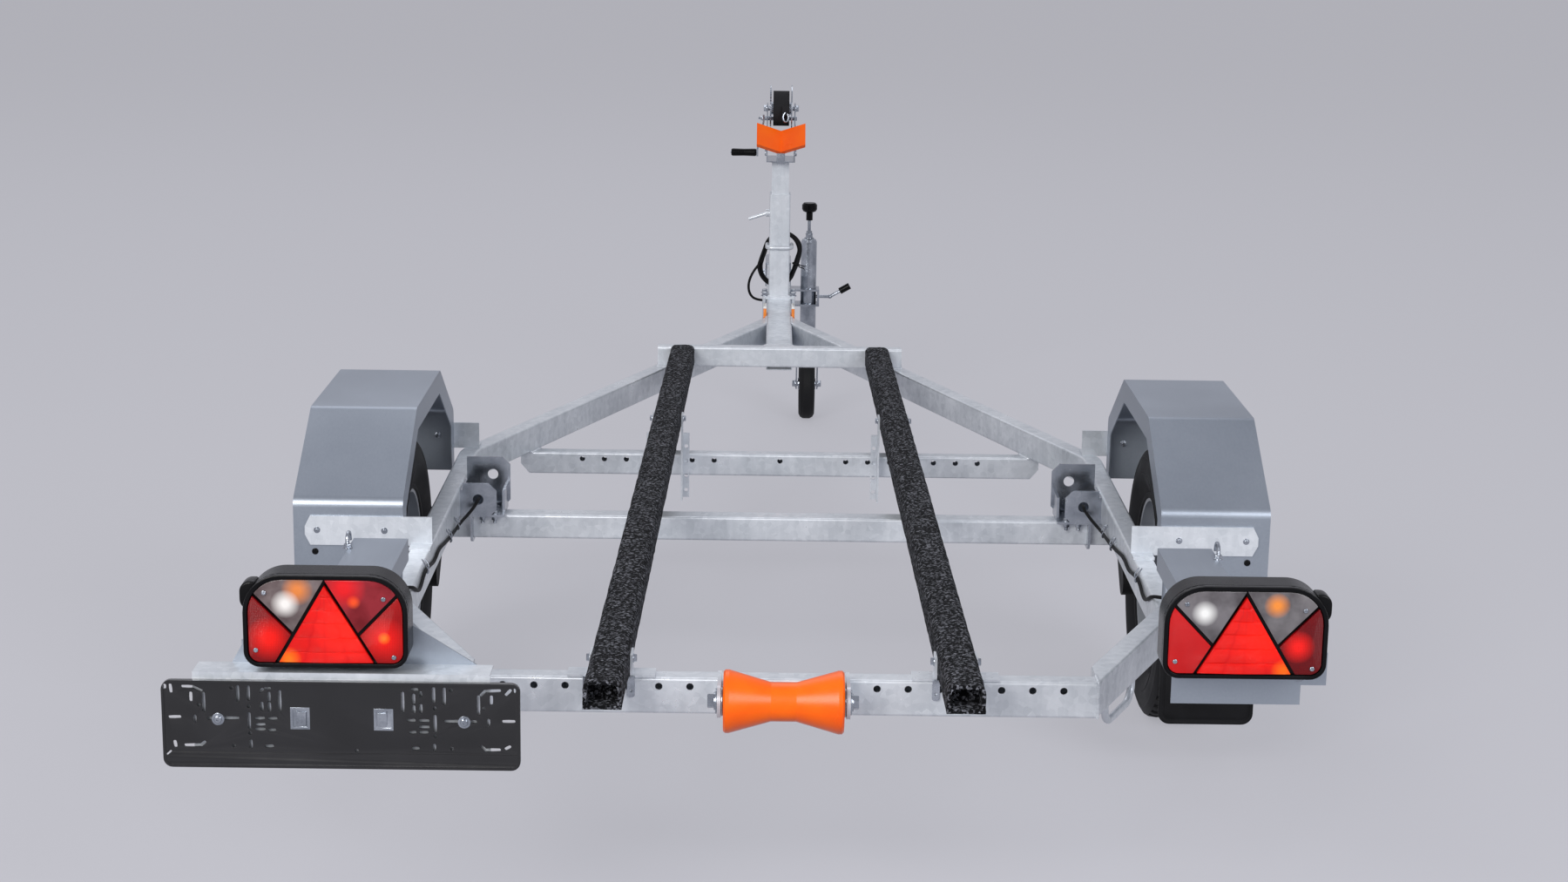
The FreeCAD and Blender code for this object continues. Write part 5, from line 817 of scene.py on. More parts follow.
def makeLamp(word, side, looks):
    centre = side * lamp["centre"]
    rim = lampPlate(centre, 0.0, lamp["rimBack"], lamp["front"])
    sink(rim, facesBack, lamp["rimBack"] - lamp["front"] - lamp["floor"], lamp["rim"])
    hand(soften(rim, 0.0012), f"lampRim_{word}", "blackPlastic")

    apex, foot = lamp["apex"], lamp["foot"]
    inner, outer = lamp["cornerInner"], lamp["cornerOuter"]
    fields = {                # each field lies to the left of its two lines
        "triangle": ((apex, mirrored(foot)), (foot, apex)),
        "topLeft": ((mirrored(foot), apex), (mirrored(outer), mirrored(inner))),
        "lowLeft": ((mirrored(foot), apex), (mirrored(inner), mirrored(outer))),
        "topRight": ((apex, foot), (inner, outer)),
        "lowRight": ((apex, foot), (outer, inner)),
    }
    for field, lines in fields.items():
        piece = lampPlate(centre, lamp["rim"] + lamp["gap"], lamp["fieldBack"], lamp["fieldFront"])
        for start, end in lines:
            cut(piece, *besideLine(start, end, centre))
        if field == "triangle":
            shapeTriangle(piece, centre)
        hand(soften(piece, 0.0007), f"lens_{field}_{word}", looks[field], sharp=25)
    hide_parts(f"lamp_lens_{word}")


def shapeTriangle(piece, centre):
    # grooves across, and a ridge down the middle
    half = lamp["grooveHalf"]
    for height in lamp["ribs"]:
        level = lamp["low"] + height
        crease(piece, "z", level - half, level + half)
        sink(piece, lambda middle, normal: facesBack(middle, normal) and abs(middle.z - level) < half, lamp["groove"])
    ridge = centre + lamp["apex"][0]
    crease(piece, "x", ridge)
    shift(piece, lambda place: abs(place.x - ridge) < 0.0004 and place.y < lamp["fieldFront"] + 0.003,
          y=-lamp["ridge"])


def lampScrews():
    head = topRound(newRound(*lamp["screwHead"], 20, -0.0003), 0.0015, 0.0009, 3)
    reach, thin = lamp["screwCross"]
    for x, y in ((reach, thin), (thin, reach)):
        carve(head, newBlock((-x, -y, 0.0009), (x, y, 0.004)))
    places = [(side * lamp["centre"] + x, lamp["fieldFront"] - 0.0002, lamp["low"] + z, (0, -1, 0))
              for side in (-1, 1) for x, z in lamp["screws"]]
    hand(joined(putCopies(head, places)), "lampScrews", "brightZinc")
    drop(head)


def makeLamps():
    looks = {
        "left": {"triangle": "redTriangleLeft", "topLeft": "clearAmberLeft", "lowLeft": "redGlowOuterLeft",
                 "topRight": "redPrismLeft", "lowRight": "redGlowInnerLeft"},
        "right": {"triangle": "redTriangleRight", "topLeft": "clearWhiteRight", "lowLeft": "redPlainRight",
                  "topRight": "clearAmberRight", "lowRight": "redDarkRight"},
    }
    for word, side in sides:
        makeLamp(word, side, looks[word])
    lampScrews()
    print("lamps made")


# holder for the number plate: a shallow black tray with rows of slots, two clips and two screws
holder = {
    "middle": -0.657,
    "low": 0.406,
    "width": 0.530,
    "height": 0.135,
    "front": -2.400,
    "back": -2.391,
    "wall": 0.003,
    "rim": 0.004,
    "round": 0.014,
    "band": 0.024,
    "sunk": 0.0016,
    "bandRise": 0.0009,
    "floor": 0.0042,         # back of the tray's floor, in from the front
    "clips": ((-0.0607, 0.0779), (0.0627, 0.0775)),
    "clipSize": (0.029, 0.034),
    "clipSeat": 0.003,       # how far the clip covers the edge of its opening
    "clipRise": 0.0006,
    "tongue": (0.006, -0.011, 0.010),    # half its width, low and high end
    "screws": ((-0.1821, 0.0754), (0.1821, 0.0749)),
    "slots": (               # ends and width in millimetres, from the middle and from the lower edge
        (-259.7, 126.9, -259.7, 124, 5.5), (-251.2, 126.8, -250.4, 117.7, 5.1),
        (-232.6, 125.5, -217.3, 125.2, 4.7), (-217.3, 125.2, -205.9, 119.4, 4.3),
        (-221.3, 114.7, -221.3, 104.7, 5.1), (-202.7, 114.6, -202.7, 88.8, 5.1),
        (-210.4, 97.2, -210, 97.2, 5.1), (-252.9, 77.7, -239.1, 78.2, 5.1),
        (-216.5, 79.1, -216.5, 72.4, 5.1), (-196.2, 76.5, -153.3, 77.3, 5.1),
        (-247.2, 38.9, -246.4, 33.1, 5.5), (-231, 34, -208.4, 34.5, 5.1),
        (-208.4, 34.5, -203.1, 38.8, 5.1), (-259.3, 19.3, -253.7, 24.5, 2.8),
        (-152.1, 125.7, -152.1, 104.8, 5.1), (-161.4, 124.1, -161, 124.1, 4.7),
        (-136.3, 125.5, -136.3, 107.1, 5.1), (-136.7, 95.8, -136.3, 95.9, 4.7),
        (-136.3, 83.8, -136.3, 62.5, 5.1), (-135.9, 53.8, -135.5, 53.8, 4.7),
        (-134.7, 41.3, -134.7, 32.1, 5.1), (-160.2, 34.1, -159.8, 34.1, 5.5),
        (-118.1, 119.1, -115.3, 122.1, 4.7), (-110.5, 124, -104.8, 124.2, 4),
        (-106, 115.8, -106, 105.8, 5.1), (-116.9, 100.4, -116.9, 91.2, 5.1),
        (-105.6, 100, -105.6, 89.9, 5.1), (-90.2, 118.9, -90.2, 90.5, 5.1),
        (-125.8, 77.1, -115.3, 77.5, 4.7), (-106.4, 77, -96.7, 77.3, 4.7),
        (-125, 67.5, -114.5, 67.9, 4.7), (-125.8, 60, -114.5, 60.4, 4.7), (-106.4, 59, -99.1, 59.3, 4.7),
        (-111.3, 33.8, -103.2, 34.1, 5.1), (91.4, 118.5, 91.4, 90.8, 5.1),
        (106.4, 124.9, 112.5, 124.8, 4.7), (107.6, 115.7, 107.6, 104.8, 5.1),
        (118.1, 119.5, 118.1, 116.2, 4.7), (107.6, 98.1, 107.6, 89.7, 5.1),
        (118.1, 99.8, 118.1, 90.1, 5.1), (137.2, 126.1, 137.2, 106, 5.1),
        (138.8, 96.4, 138.8, 95.1, 4.7), (138.8, 83.3, 138.8, 60.6, 5.1),
        (138.8, 52.2, 139.2, 52.3, 4.7), (152.9, 125.9, 152.9, 103.2, 5.1),
        (162.6, 124.2, 163, 124.2, 5.1), (99.5, 76.8, 108, 76.7, 4.7), (117.3, 76.6, 128.3, 76.6, 4.7),
        (117.3, 66.6, 128.3, 66.6, 4.7), (102.4, 58, 108.8, 58.3, 4.7), (117.3, 58.2, 126.6, 58.5, 4.7),
        (106.4, 33, 112.9, 33.2, 5.1), (137.2, 37.9, 137.2, 31.2, 5.1), (162.6, 32.9, 163, 33, 5.5),
        (155, 76, 198.6, 75.9, 5.1), (203.5, 114.4, 203.5, 88.3, 5.1), (207.5, 117.1, 213.2, 123.3, 4.7),
        (213.2, 123.3, 234.3, 124.5, 5.1), (222.5, 114.4, 222.5, 105.1, 5.1),
        (211.2, 96.6, 211.6, 96.7, 4.7), (218.1, 77.9, 218.1, 71.2, 5.1),
        (240.7, 76.7, 255.3, 76.8, 5.1), (244.8, 118.6, 250.4, 124.7, 5.1),
        (257.3, 126.7, 257.3, 122.5, 3.2), (207.1, 37.1, 213.2, 31.8, 4.7),
        (213.2, 31.8, 233.4, 32.2, 5.1), (244, 34.2, 248.8, 36.9, 5.1), (21.4, 28.6, 21.8, 28.6, 5.5),
    ),
}


def holderPlace(x, z):
    return holder["middle"] + x, holder["low"] + z


def slotTool(x0, z0, x1, z1, width):
    # a pin pulled apart into a round-ended slot
    reach = math.hypot(x1 - x0, z1 - z0) / 2
    tool = newRound(width / 2, 0.02, 12, -0.01)
    shift(tool, lambda place: place.x > 0.00001, x=reach)
    shift(tool, lambda place: place.x < -0.00001, x=-reach)
    angle = math.atan2(z1 - z0, x1 - x0)
    x, z = holderPlace((x0 + x1) / 2, (z0 + z1) / 2)
    tool.data.transform(Matrix.Translation((x, holder["front"], z)) @ Matrix.Rotation(math.pi / 2, 4, "X")
                        @ Matrix.Rotation(angle, 4, "Z"))
    return tool


def clipBlock(place, margin, front, back):
    x, z = holderPlace(*place)
    wide, tall = (size / 2 - margin for size in holder["clipSize"])
    return newBlock((x - wide, front, z - tall), (x + wide, back, z + tall))


def makeHolder():
    half = holder["width"] / 2
    front, back = holder["front"], holder["back"]
    tray = newBlock((holder["middle"] - half, front, holder["low"]),
                    (holder["middle"] + half, back, holder["low"] + holder["height"]))
    roundEdges(tray, alongY, holder["round"], 6)
    sink(tray, facesBack, holder["sunk"], holder["rim"])
    level = holder["low"] + holder["band"]
    crease(tray, "z", level)
    sink(tray, lambda middle, normal: facesBack(middle, normal) and middle.z < level and middle.y > front + 0.001,
         -holder["bandRise"])
    sink(tray, lambda middle, normal: normal.y > 0.9, front + holder["floor"] - back, holder["wall"])
    tools = [slotTool(*(value / 1000 for value in row)) for row in holder["slots"]]
    tools += [clipBlock(place, holder["clipSeat"], front - 0.01, back) for place in holder["clips"]]
    carve(tray, joined(tools))
    hand(soften(tray, 0.0005, 2, 40), "plateTray", "holderPlastic")
    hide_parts("plate_holder")

    clips = []
    front += holder["clipRise"]
    wide, low, high = holder["tongue"]
    for place in holder["clips"]:
        clip = clipBlock(place, 0.0, front, front + 0.0016)
        clips.append(soften(sink(clip, facesBack, 0.0012, 0.0038), 0.0004))
        x, z = holderPlace(*place)
        way = 1 if x < holder["middle"] else -1
        x += way * 0.003
        tongue = newBlock((x - wide, front - 0.0006, z + low), (x + wide, front + 0.0012, z + high))
        bend(tongue, lambda middle, normal: normal.x * way < -0.9, 0.0004, -way * 0.002, 0.003)
        clips.append(soften(tongue, 0.0006))
    hand(joined(clips), "plateClips", "brightZinc")
    print("number plate holder made")


# road tyres: crown and side walls spun from a profile, then blocks pressed into the tread
tyre = {
    "centre": 0.818,
    "hubPlace": (-0.900, 0.280),
    "segments": 96,
    "profile": (             # across the tyre from its middle, and out from the axle
        (0.0590, 0.1722), (0.0635, 0.1760), (0.0640, 0.1815), (0.0600, 0.1860), (0.0640, 0.1930), (0.0705, 0.2060),
        (0.0745, 0.2190), (0.0752, 0.2225), (0.0738, 0.2240), (0.0750, 0.2300), (0.0742, 0.2420), (0.0715, 0.2530),
        (0.0722, 0.2560), (0.0690, 0.2640), (0.0640, 0.2718), (0.0580, 0.2752),
        (0.0440, 0.2772), (0.0435, 0.2700), (0.0365, 0.2700), (0.0360, 0.2782),
        (0.0160, 0.2794), (0.0155, 0.2715), (0.0085, 0.2715), (0.0080, 0.2795),
    ),
    "bore": ((0.0500, 0.1722), (0.0480, 0.1800), (0.0560, 0.2200), (0.0500, 0.2560), (0.0300, 0.2620)),
    # faces that are pressed into the tread: across from and to, least radius, which of two columns and whether the
    # other side takes the other one, the margin left round them, depth, and whether each face stands alone
    "pressed": (
        (0.044, 0.066, 0.2675, 0, 1, 0.0028, 0.0045, False), (0.0162, 0.0358, 0.277, 1, 1, 0.0065, 0.0040, True),
        (0.0, 0.0078, 0.277, 0, 0, 0.0032, 0.0040, True),
    ),
    "turn": 0.31,
}


def makeTyre():
    half, bore = tyre["profile"], tyre["bore"]
    ring = [*half, *((-x, r) for x, r in reversed(half)), *((-x, r) for x, r in bore), *reversed(bore)]
    startFresh()
    bpy.ops.mesh.primitive_circle_add(vertices=len(ring), radius=0.1, location=(0, 0, 0))
    item = bpy.context.object
    for point, (x, r) in zip(item.data.vertices, ring):
        point.co = (x, 0, r)
    pick(item, points=everything)
    bpy.ops.mesh.spin(steps=tyre["segments"], angle=2 * math.pi, center=(0, 0, 0), axis=(1, 0, 0))
    leaveEdit()
    outwards(item)

    def column(middle):
        return int((math.atan2(middle.z, middle.y) / (2 * math.pi) + 0.5) * tyre["segments"])

    def radial(middle):
        return math.hypot(middle.y, middle.z)

    # shoulder lugs, and sipes across the ribs between the grooves
    for start, end, least, which, swaps, margin, depth, alone in tyre["pressed"]:
        pick(item, faces=lambda middle, normal: (
            start <= abs(middle.x) < end and radial(middle) > least
            and (column(middle) + swaps * (middle.x > 0)) % 2 == which))
        bpy.ops.mesh.inset(thickness=margin, use_individual=alone)
        bpy.ops.transform.shrink_fatten(value=-depth)
        leaveEdit()
    return item


def makeTyres():
    master = makeTyre()
    for word, side in sides:
        place = Matrix.Translation((side * tyre["centre"], *tyre["hubPlace"]))
        piece = copyOf(master, place @ Matrix.Rotation(tyre["turn"] * side, 4, "X"))
        hand(piece, f"roadTyre_{word}", "tyreRubber", f"wheel_{word}", 32)
        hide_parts(f"tyre_{word}")
    drop(master)
    print("tyres made")


# bolts, nuts and washers: each kind is modelled once, pointing up from the face that it sits on
fastener = {
    "hex": 0.0075,           # from the middle to a corner
    "washer": 0.0092,
    "headRise": 0.0055,
    "nutRise": 0.0066,
    "stud": 0.0041,
    "studLength": 0.016,
    "threads": 13,
    "cap": 0.0058,
    "capWasher": 0.0095,
    "washerRise": 0.0016,
    "root": 0.84,            # of a thread, as a share of its crown
    "socket": 0.0024,
}

# place, direction and size of each one on the right, and its twin stands on the left
beamBolts = [(x, y) for y in (-0.8505, -0.7795) for x in (0.615, 0.590)]
boltPlaces = (
    *((x, y, 0.395, (0, 0, 1), 0.95) for x, y in beamBolts),
    (0.700, -0.8450, 0.425, (1, 0, 0), 1.0), (0.700, -0.7850, 0.425, (1, 0, 0), 1.0),
    (0.3111, -2.0650, 0.477, (1, 0, 0), 0.85), (0.2419, -2.0650, 0.477, (-1, 0, 0), 0.85),
    (0.2895, -0.2950, 0.4775, (1, 0, 0), 0.85), (0.2203, -0.2950, 0.4775, (-1, 0, 0), 0.85),
    (0.0403, 2.1050, 0.412, (1, 0, 0), 1.1), (0.0403, 2.1600, 0.412, (1, 0, 0), 1.1),
    (0.772, -2.3420, 0.549, (0, -1, 0), 0.80), (0.7123, -1.8165, 0.545, (0, 0, 1), 0.7),
)
studPlaces = (
    *((x, y, 0.390, (0, 0, -1), 0.95) for x, y in beamBolts), (0.7605, -1.6720, 0.545, (0, 0, 1), 0.95),
    *((x, y, 0.479, (0, way, 0), 0.75) for y, way in ((-1.302, 1), (-0.498, -1)) for x in (0.877, 0.750)),
)
nutPlaces = ((0.0413, 1.4480, 0.458, (0, 0, 1), 1.15), (0.0413, 1.5020, 0.458, (0, 0, 1), 1.15))
capPlaces = [(x, y, 0.479, (0, way, 0), 0.65) for y, way in ((-1.309, -1), (-0.491, 1)) for x in (0.877, 0.750)]


def bothSides(places):
    return [(side * x, y, z, (side * direction[0], *direction[1:]), *size)
            for side in (-1, 1) for x, y, z, direction, *size in places]


def hexHead(rise):
    base = fastener["washerRise"]
    washer = topRound(newRound(fastener["washer"], base, 28), 0.0012, 0.0005)
    return joined([washer, topRound(newRound(fastener["hex"], rise, 6, base), rise, 0.0009)])


def threadedEnd():
    length, steps = fastener["studLength"], fastener["threads"]
    stud = crease(newRound(fastener["stud"], length, 14), "z", *(step * length / steps for step in range(1, steps)))
    return swell(stud, lambda place: round(place.z / length * steps) % 2 == 1, fastener["root"], fastener["root"], 1)


def capHead():
    washer = topRound(newRound(fastener["capWasher"], 0.0012, 32), 0.001, 0.0005)
    head = topRound(newRound(fastener["cap"], 0.0036, 24, 0.001), 0.004, 0.0018, 4)
    return joined([washer, carve(head, newRound(fastener["socket"], 0.004, 6, 0.003))])


def fasteners():
    # the masters, which are dropped at the end
    kinds = {"bolt": hexHead(fastener["headRise"]), "nut": hexHead(fastener["nutRise"]), "cap": capHead()}
    kinds["stud"] = joined([hexHead(fastener["nutRise"]), threadedEnd()])
    return kinds


def handBolts(name, body, rows):
    copies = [copy for master, places in rows for copy in putCopies(master, places)]
    hand(joined(copies), name, "brightZinc", body)


def makeFasteners():
    kinds = fasteners()
    screws = [holderPlace(*place) for place in holder["screws"]]
    handBolts("plateScrews", "frame", [
        (kinds["cap"], [(x, holder["front"] + holder["sunk"], z, (0, -1, 0)) for x, z in screws])])
    handBolts("frameBolts", "frame", [
        (kinds["bolt"], bothSides(boltPlaces)), (kinds["stud"], bothSides(studPlaces)),
        (kinds["nut"], bothSides(nutPlaces)), (kinds["cap"], bothSides(capPlaces)),
        (kinds["nut"], [(0.092, 1.845, 0.5682, (0, 0, 1), 1.6), (0.092, 1.845, 0.5810, (0, 0, 1), 1.25)]),
    ])
    handBolts("winchBolts", "mast", [
        (kinds["bolt"], bothSides([(0.041, 1.440, 0.950, (1, 0, 0), 0.8), (0.041, 1.442, 0.872, (1, 0, 0), 0.7),
                                   (0.041, 1.545, 0.872, (1, 0, 0), 0.7)])),
        (kinds["nut"], bothSides([(0.041, 1.475, 1.000, (1, 0, 0), 1.15)])),
    ])
    handBolts("crankNut", "winch_crank", [(kinds["stud"], [(-0.053, 1.5442, 0.964, (-1, 0, 0), 0.8)])])
    handBolts("forkNuts", "jockey_fork", [
        (kinds["nut"], [(0.092 + side * 0.034, 1.881, 0.108, (side, 0, 0), 1.3) for side in (-1, 1)])])
    wheelDetails(kinds)
    drop(*kinds.values())
    print("bolts and nuts put in")


# wheels: bolts of the disc, the dust cap over the hub and the valve
wheelParts = {
    "disc": 0.838,
    "boltCircle": 0.050,
    "bolts": 4,
    "boltSize": 1.35,
    "capRadius": 0.0278,
    "capLength": 0.0325,
    "capRim": (0.0305, 0.0044),
    "valve": 0.150,
    "valveSize": (0.0042, 0.018),
    "valveOut": 0.004,
    "collar": (0.010, 0.011, 1.45),      # the valve is wider below this step
}


def wheelDetails(kinds):
    y, z = tyre["hubPlace"]
    disc, count, reach = wheelParts["disc"], wheelParts["bolts"], wheelParts["boltCircle"]
    length = wheelParts["capLength"]
    dome = topRound(newRound(wheelParts["capRadius"], length, 36), length * 0.9, 0.010, 5)
    cap = joined([dome, topRound(newRound(*wheelParts["capRim"], 36), 0.004, 0.0014, 3)])
    valve = topRound(newRound(*wheelParts["valveSize"], 14), 0.017, 0.0012)
    low, high, wider = wheelParts["collar"]
    swell(crease(valve, "z", low, high), lambda place: place.z < (low + high) / 2, wider, wider, 1)
    for word, side in sides:
        angles = [math.pi * (2 * index + 1) / count for index in range(count)]
        copies = putCopies(kinds["bolt"], [(side * disc, y + reach * math.cos(angle), z + reach * math.sin(angle),
                                            (side, 0, 0), wheelParts["boltSize"]) for angle in angles])
        copies += putCopies(cap, [(side * disc, y, z, (side, 0, 0))])
        copies += putCopies(valve, [(side * (disc + wheelParts["valveOut"]), y, z - wheelParts["valve"],
                                     (side, 0, 0))])
        hand(joined(copies), f"wheelFittings_{word}", "brightZinc", f"wheel_{word}")
    drop(cap, valve)


# weld seams of the frame: drops laid over each other from one end of a joint to the other
weldDrop = {"radius": 0.0031, "rise": 0.0022, "pitch": 0.0024, "sunk": 0.0008}
seams = (
    ((0.5055, -2.0855, 0.392), (0.5055, -2.0855, 0.448), (0.3, -1, 0)),
    ((0.5055, -2.084, 0.4502), (0.5055, -2.046, 0.4502), (0, 0, 1)),
    ((0.5645, -0.2752, 0.3905), (0.5485, -0.2350, 0.3905), (-0.7, 0, 0.7)),
    ((0.5645, -0.2755, 0.3895), (0.5880, -0.2755, 0.3895), (0, -1, 0.3)),
    ((0.2740, 0.4346, 0.4502), (0.3090, 0.4346, 0.4502), (0, -1, 0.7)),
    ((0.2740, 0.4754, 0.4502), (0.3090, 0.4754, 0.4502), (0, 1, 0.7)),
    ((0.0354, 1.0520, 0.4503), (0.0354, 1.1540, 0.4503), (0.3, 0, 1)),
    ((0.0362, 1.1575, 0.392), (0.0362, 1.1575, 0.448), (0.6, 1, 0)),
    ((0.0303, 1.4460, 0.4585), (0.0303, 1.5040, 0.4585), (1, 0, 0.7)),
    ((0.0010, 1.4447, 0.4585), (0.0300, 1.4447, 0.4585), (0, -1, 0.7)),
)
loopWeld = {
    "legs": ((0.5313, -1.9825), (0.5935, -1.8440)),
    "level": 0.3893,
    "radius": 0.0068,
    "drops": 14,
    "size": 1.15,
}


def seamPlaces(start, end, up):
    start, end = Vector(start), Vector(end)
    count = max(2, round((end - start).length / weldDrop["pitch"]))
    return [(*start.lerp(end, index / count), up, 0.85 + 0.03 * (index * 37 % 10)) for index in range(count + 1)]


def makeWelds():
    rise = weldDrop["rise"]
    master = topRound(newRound(weldDrop["radius"], rise, 10, -weldDrop["sunk"]), rise * 0.5, rise * 0.75)
    places = [place for seam in seams for place in seamPlaces(*seam)]
    radius = loopWeld["radius"]
    for x, y in loopWeld["legs"]:
        for index in range(loopWeld["drops"]):
            angle = 2 * math.pi * index / loopWeld["drops"]
            across, along = math.cos(angle), math.sin(angle)
            places.append((x + radius * across, y + radius * along, loopWeld["level"], (across, along, -0.8),
                           loopWeld["size"]))
    hand(joined(putCopies(master, bothSides(places))), "weldSeams", "galvanised")
    post = seamPlaces((-0.024, 1.4497, 0.8495), (0.024, 1.4497, 0.8495), (0, -1, -0.6))
    hand(joined(putCopies(master, post)), "postWeld", "galvanised", "mast")
    drop(master)
    print("welds laid")


# bunks: a bar wrapped in needle felt, open at its rear end
bunk = {
    "rear": -2.273,
    "front": 0.4347,
    "rearOffset": 0.279,
    "frontOffset": 0.246,
    "halfWidth": 0.030,
    "low": 0.460,
    "high": 0.506,
    "round": 0.014,
    "columns": (-0.022, -0.014, -0.007, 0.0, 0.007, 0.014, 0.022),
    "levels": (0.465, 0.470, 0.475, 0.480, 0.486),
    "cuts": 560,
    "lumps": (0.045, 0.0012),    # size and height of the uneven surface
    "tufts": (0.0045, 0.0024),
    "wrap": 0.0065,
    "hollow": 0.045,
    "sag": (0.4965, 0.06, 0.012),    # top of the felt over the open end: from this height, over this length, down
    "tabs": ((0.3118, 0.0098, 0.421), (0.2444, 0.0062, 0.418)),      # middle, half width and low end of a strap
    "tabFaces": (-2.0882, -2.0852),
    "tabTop": 0.4535,
    "tabHole": (-2.087, 0.012, 0.42),    # place along Y, height over the low end, radius as a share of half the width
}


def makeBunks():
    half, rear = bunk["halfWidth"], bunk["rear"]
    master = newBlock((-half, rear, bunk["low"]), (half, bunk["front"], bunk["high"]))
    roundEdges(master, lambda middle, way: alongY(middle, way) and middle.z > bunk["high"] - 0.001, bunk["round"], 5)
    sink(master, facesBack, bunk["hollow"], bunk["wrap"])
    level, reach, sag = bunk["sag"]
    shift(master, lambda place: (place.z > level and abs(place.x) < half - bunk["wrap"] + 0.0005
                                 and rear + 0.001 < place.y < rear + reach), z=-sag)
    crease(master, "x", *bunk["columns"])
    crease(master, "z", *bunk["levels"])
    pick(master, edges=lambda middle, way: abs(way.y) > 0.99 and middle.y > -1.2)
    bpy.ops.mesh.subdivide(number_cuts=bunk["cuts"])
    leaveEdit()
    for key in ("lumps", "tufts"):
        size, height = bunk[key]
        felt = bpy.data.textures.new(f"bunk{key}", "CLOUDS")
        felt.noise_scale = size
        felt.noise_depth = 2
        apply(master, "DISPLACE", texture=felt, texture_coords="LOCAL", strength=height, mid_level=0.55)
    lean = (bunk["frontOffset"] - bunk["rearOffset"]) / (bunk["front"] - rear)
    tabs = []
    for word, side in sides:
        place = Matrix(((1, side * lean, 0, side * (bunk["rearOffset"] - lean * rear)),
                        (0, 1, 0, 0), (0, 0, 1, 0), (0, 0, 0, 1)))
        piece = hand(copyOf(master, place), f"feltBunk_{word}", "carpet", sharp=60)
        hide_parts(f"bunk_{word}")
        tabs += [bunkTab(side, *size) for size in bunk["tabs"]]
    hand(joined(tabs), "bunkTabs", "brightZinc")
    drop(master)
    print("bunks made")


def bunkTab(side, middle, wide, low):
    # lower end of a strap on the beam's rear face, with its hole
    rear, front = bunk["tabFaces"]
    tab = newBlock((side * middle - wide, rear, low), (side * middle + wide, front, bunk["tabTop"]))
    roundEdges(tab, lambda at, way: alongY(at, way) and at.z < 0.43, wide * 0.7, 4)
    y, height, share = bunk["tabHole"]
    hole = newRound(wide * share, 0.02, 16, -0.01)
    hole.data.transform(Matrix.Translation((side * middle, y, low + height)) @ Matrix.Rotation(math.pi / 2, 4, "X"))
    return soften(carve(tab, hole), 0.0005)


# keel roller: washers on its rod and the nuts at its ends
rollerFit = {
    "y": -2.160,
    "z": 0.438,
    "inner": (0.0958, 0.0985, 0.0235),   # from, to and radius
    "outer": (0.1052, 0.1076, 0.0200),
    "nutSize": 1.55,
}


def makeRollerFit():
    y, z, size = rollerFit["y"], rollerFit["z"], rollerFit["nutSize"]
    masters = [hexHead(fastener["nutRise"]), hexHead(fastener["headRise"])]
    copies = []
    for master, side in zip(masters, (-1, 1)):
        copies += putCopies(master, [(side * rollerFit["outer"][1], y, z, (side, 0, 0), size)])
    for key in ("inner", "outer"):
        start, end, radius = rollerFit[key]
        disc = roundEdges(newRound(radius, end - start, 40), lambda middle, way: abs(way.z) < 0.1, 0.0008, 2)
        copies += putCopies(disc, [(side * start, y, z, (side, 0, 0)) for side in (-1, 1)])
        masters.append(disc)
    drop(*masters)
    hand(joined(copies), "rollerWashers", "brightZinc")
    print("roller fittings made")


# lamp wiring clipped to the inner faces of the rails
wiring = {
    "radius": 0.0033,
    "route": (               # on the right
        (0.623, -0.850, 0.427), (0.622, -0.872, 0.427), (0.634, -0.890, 0.410), (0.652, -0.925, 0.395),
        (0.6565, -0.990, 0.394), (0.6565, -1.060, 0.400), (0.6565, -1.160, 0.414), (0.6565, -1.240, 0.426),
        (0.6565, -1.310, 0.420), (0.6565, -1.380, 0.432), (0.6565, -1.450, 0.441), (0.6565, -1.520, 0.424),
        (0.6565, -1.570, 0.440), (0.6575, -1.600, 0.4545), (0.672, -1.618, 0.4580), (0.694, -1.640, 0.4600),
        (0.712, -1.680, 0.472), (0.714, -1.740, 0.505), (0.714, -1.840, 0.520), (0.712, -2.100, 0.522),
        (0.705, -2.330, 0.524),
    ),
    "clips": ((-0.955, 0.394), (-1.085, 0.403), (-1.440, 0.440)),
    "railFace": 0.660,
    "clipRadius": 0.0013,
    "clip": (                # in from the rail's face, along it and up from the cable
        (-0.001, -0.012, 0.024), (0.003, -0.010, 0.016), (0.009, -0.004, 0.004), (0.0095, 0.004, -0.005),
        (0.004, 0.010, -0.010), (0.009, 0.015, 0.002), (0.005, 0.019, 0.011), (-0.001, 0.021, 0.016),
    ),
}


def makeWiring():
    clips = []
    for word, side in sides:
        cable = pipe([(side * x, y, z) for x, y, z in wiring["route"]], wiring["radius"])
        hand(cable, f"lampCable_{word}", "blackRubber")
        for y, z in wiring["clips"]:
            points = [(side * (wiring["railFace"] - inwards), y + along, z + up)
                      for inwards, along, up in wiring["clip"]]
            clips.append(pipe(points, wiring["clipRadius"]))
    hand(joined(clips), "cableClips", "brightZinc")
    print("wiring clipped on")


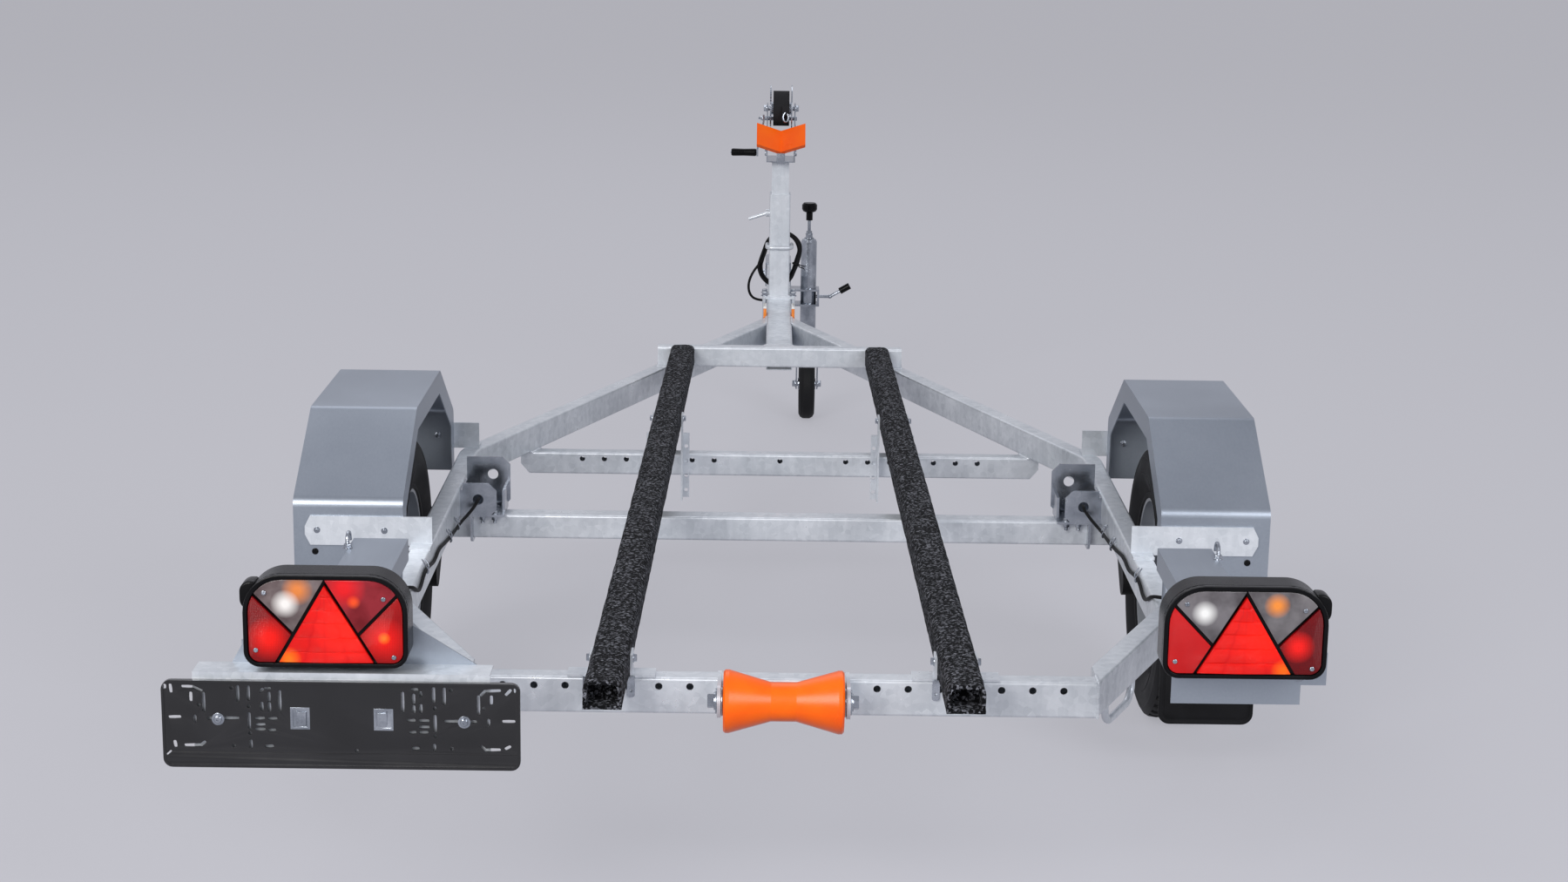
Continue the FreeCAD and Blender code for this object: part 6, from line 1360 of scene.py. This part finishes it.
# small parts: the lamps' outer ends, saddles of the carriers, mudflaps with rivets, and side markers
trimming = {
    "bulge": ((0.782, -2.380, 0.644), (0.8060, -2.348, 0.688)),
    "saddle": ((0.765, -1.6475, 0.5450), (0.765, -1.6475, 0.5520), (0.765, -1.6440, 0.5600), (0.765, -1.6328, 0.5630),
               (0.765, -1.6216, 0.5600), (0.765, -1.6181, 0.5520), (0.765, -1.6181, 0.5450)),
    "flap": ((0.7275, -1.3017, 0.112), (0.9095, -1.2967, 0.425)),
    "flapRound": 0.022,
    "flapPanel": ((0.007, 0.0013), (0.004, -0.0008)),     # margin and depth of each step
    "saddleRadius": 0.0035,
    "rivet": (0.0062, 0.0026),
    "rivets": ((0.882, -1.3040, 0.436), (0.752, -1.3040, 0.436)),
    "markerLens": ((0.0352, 1.1730, 0.438), (0.0440, 1.2370, 0.4690)),
    "markerCap": ((0.0352, 1.1730, 0.469), (0.0440, 1.2370, 0.4750)),
}


def mirrorBlock(side, low, high):
    ends = sorted((side * low[0], side * high[0]))
    return newBlock((ends[0], *low[1:]), (ends[1], *high[1:]))


def makeTrimming():
    looks = {"lampEnds": "blackPlastic", "flapRivets": "blackPlastic", "carrierSaddles": "brightZinc",
             "markerLenses": "amberLens", "markerCaps": "paleLens"}
    parts = {name: [] for name in looks}
    rivet = topRound(newRound(*trimming["rivet"], 20), 0.002, 0.0016, 4)
    for word, side in sides:
        bulge = mirrorBlock(side, *trimming["bulge"])
        roundEdges(bulge, lambda middle, way: alongY(middle, way) and middle.x * side > 0.80, 0.016, 8)
        parts["lampEnds"].append(soften(bulge, 0.003, 3))
        flap = mirrorBlock(side, *trimming["flap"])
        roundEdges(flap, lambda middle, way: alongY(middle, way) and middle.z < 0.12, trimming["flapRound"], 8)
        pick(flap, faces=facesBack)
        for margin, depth in trimming["flapPanel"]:
            bpy.ops.mesh.inset(thickness=margin)
            push(depth)
        hand(soften(flap, 0.0005), f"rubberFlap_{word}", "blackRubber")
        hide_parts(f"mudflap_{word}")
        parts["flapRivets"] += putCopies(rivet, [(side * x, y, z, (0, -1, 0)) for x, y, z in trimming["rivets"]])
        saddle = pipe([(side * x, y, z) for x, y, z in trimming["saddle"]], trimming["saddleRadius"])
        parts["carrierSaddles"].append(saddle)
        parts["markerLenses"].append(soften(mirrorBlock(side, *trimming["markerLens"]), 0.0015, 3))
        cap = mirrorBlock(side, *trimming["markerCap"])
        parts["markerCaps"].append(roundEdges(cap, lambda middle, way: middle.z > 0.4745, 0.003, 4))
    drop(rivet)
    for name, look in looks.items():
        hand(joined(parts[name]), name, look)
    print("trimming made")


# hook of the winch's webbing, which rests in the bow stop's notch
hook = {
    "wire": 0.0028,
    "bend": ((0.013, 1.416, 0.996), (0.006, 1.413, 0.990), (0.004, 1.409, 0.978), (0.010, 1.407, 0.968),
             (0.018, 1.408, 0.970), (0.021, 1.411, 0.980), (0.018, 1.415, 0.991), (0.012, 1.417, 0.997)),
    "loop": ((0.003, 1.4135, 0.985), (0.022, 1.4170, 1.012)),
    "folds": (0.9904, 0.9958, 1.0012, 1.0066),
    "waist": (0.989, 1.004, 0.0012),     # from, to and how far it stands out
}


def makeHook():
    hand(pipe(hook["bend"], hook["wire"]), "strapHook", "brightZinc", "mast")
    loop = newBlock(*hook["loop"])
    roundEdges(loop, lambda middle, way: abs(way.x) > 0.9, 0.0015, 4)
    crease(loop, "z", *hook["folds"])
    low, high, out = hook["waist"]
    shift(loop, lambda place: low < place.z < high, y=-out)
    hand(loop, "strapLoop", "webbing", "mast")
    print("strap hook made")


makeCamera()
paintNodes()
supplyLead()
makeStudio()
makeLamps()
makeHolder()
makeTyres()
makeBunks()
makeFasteners()
makeRollerFit()
makeWelds()
makeWiring()
makeTrimming()
makeHook()
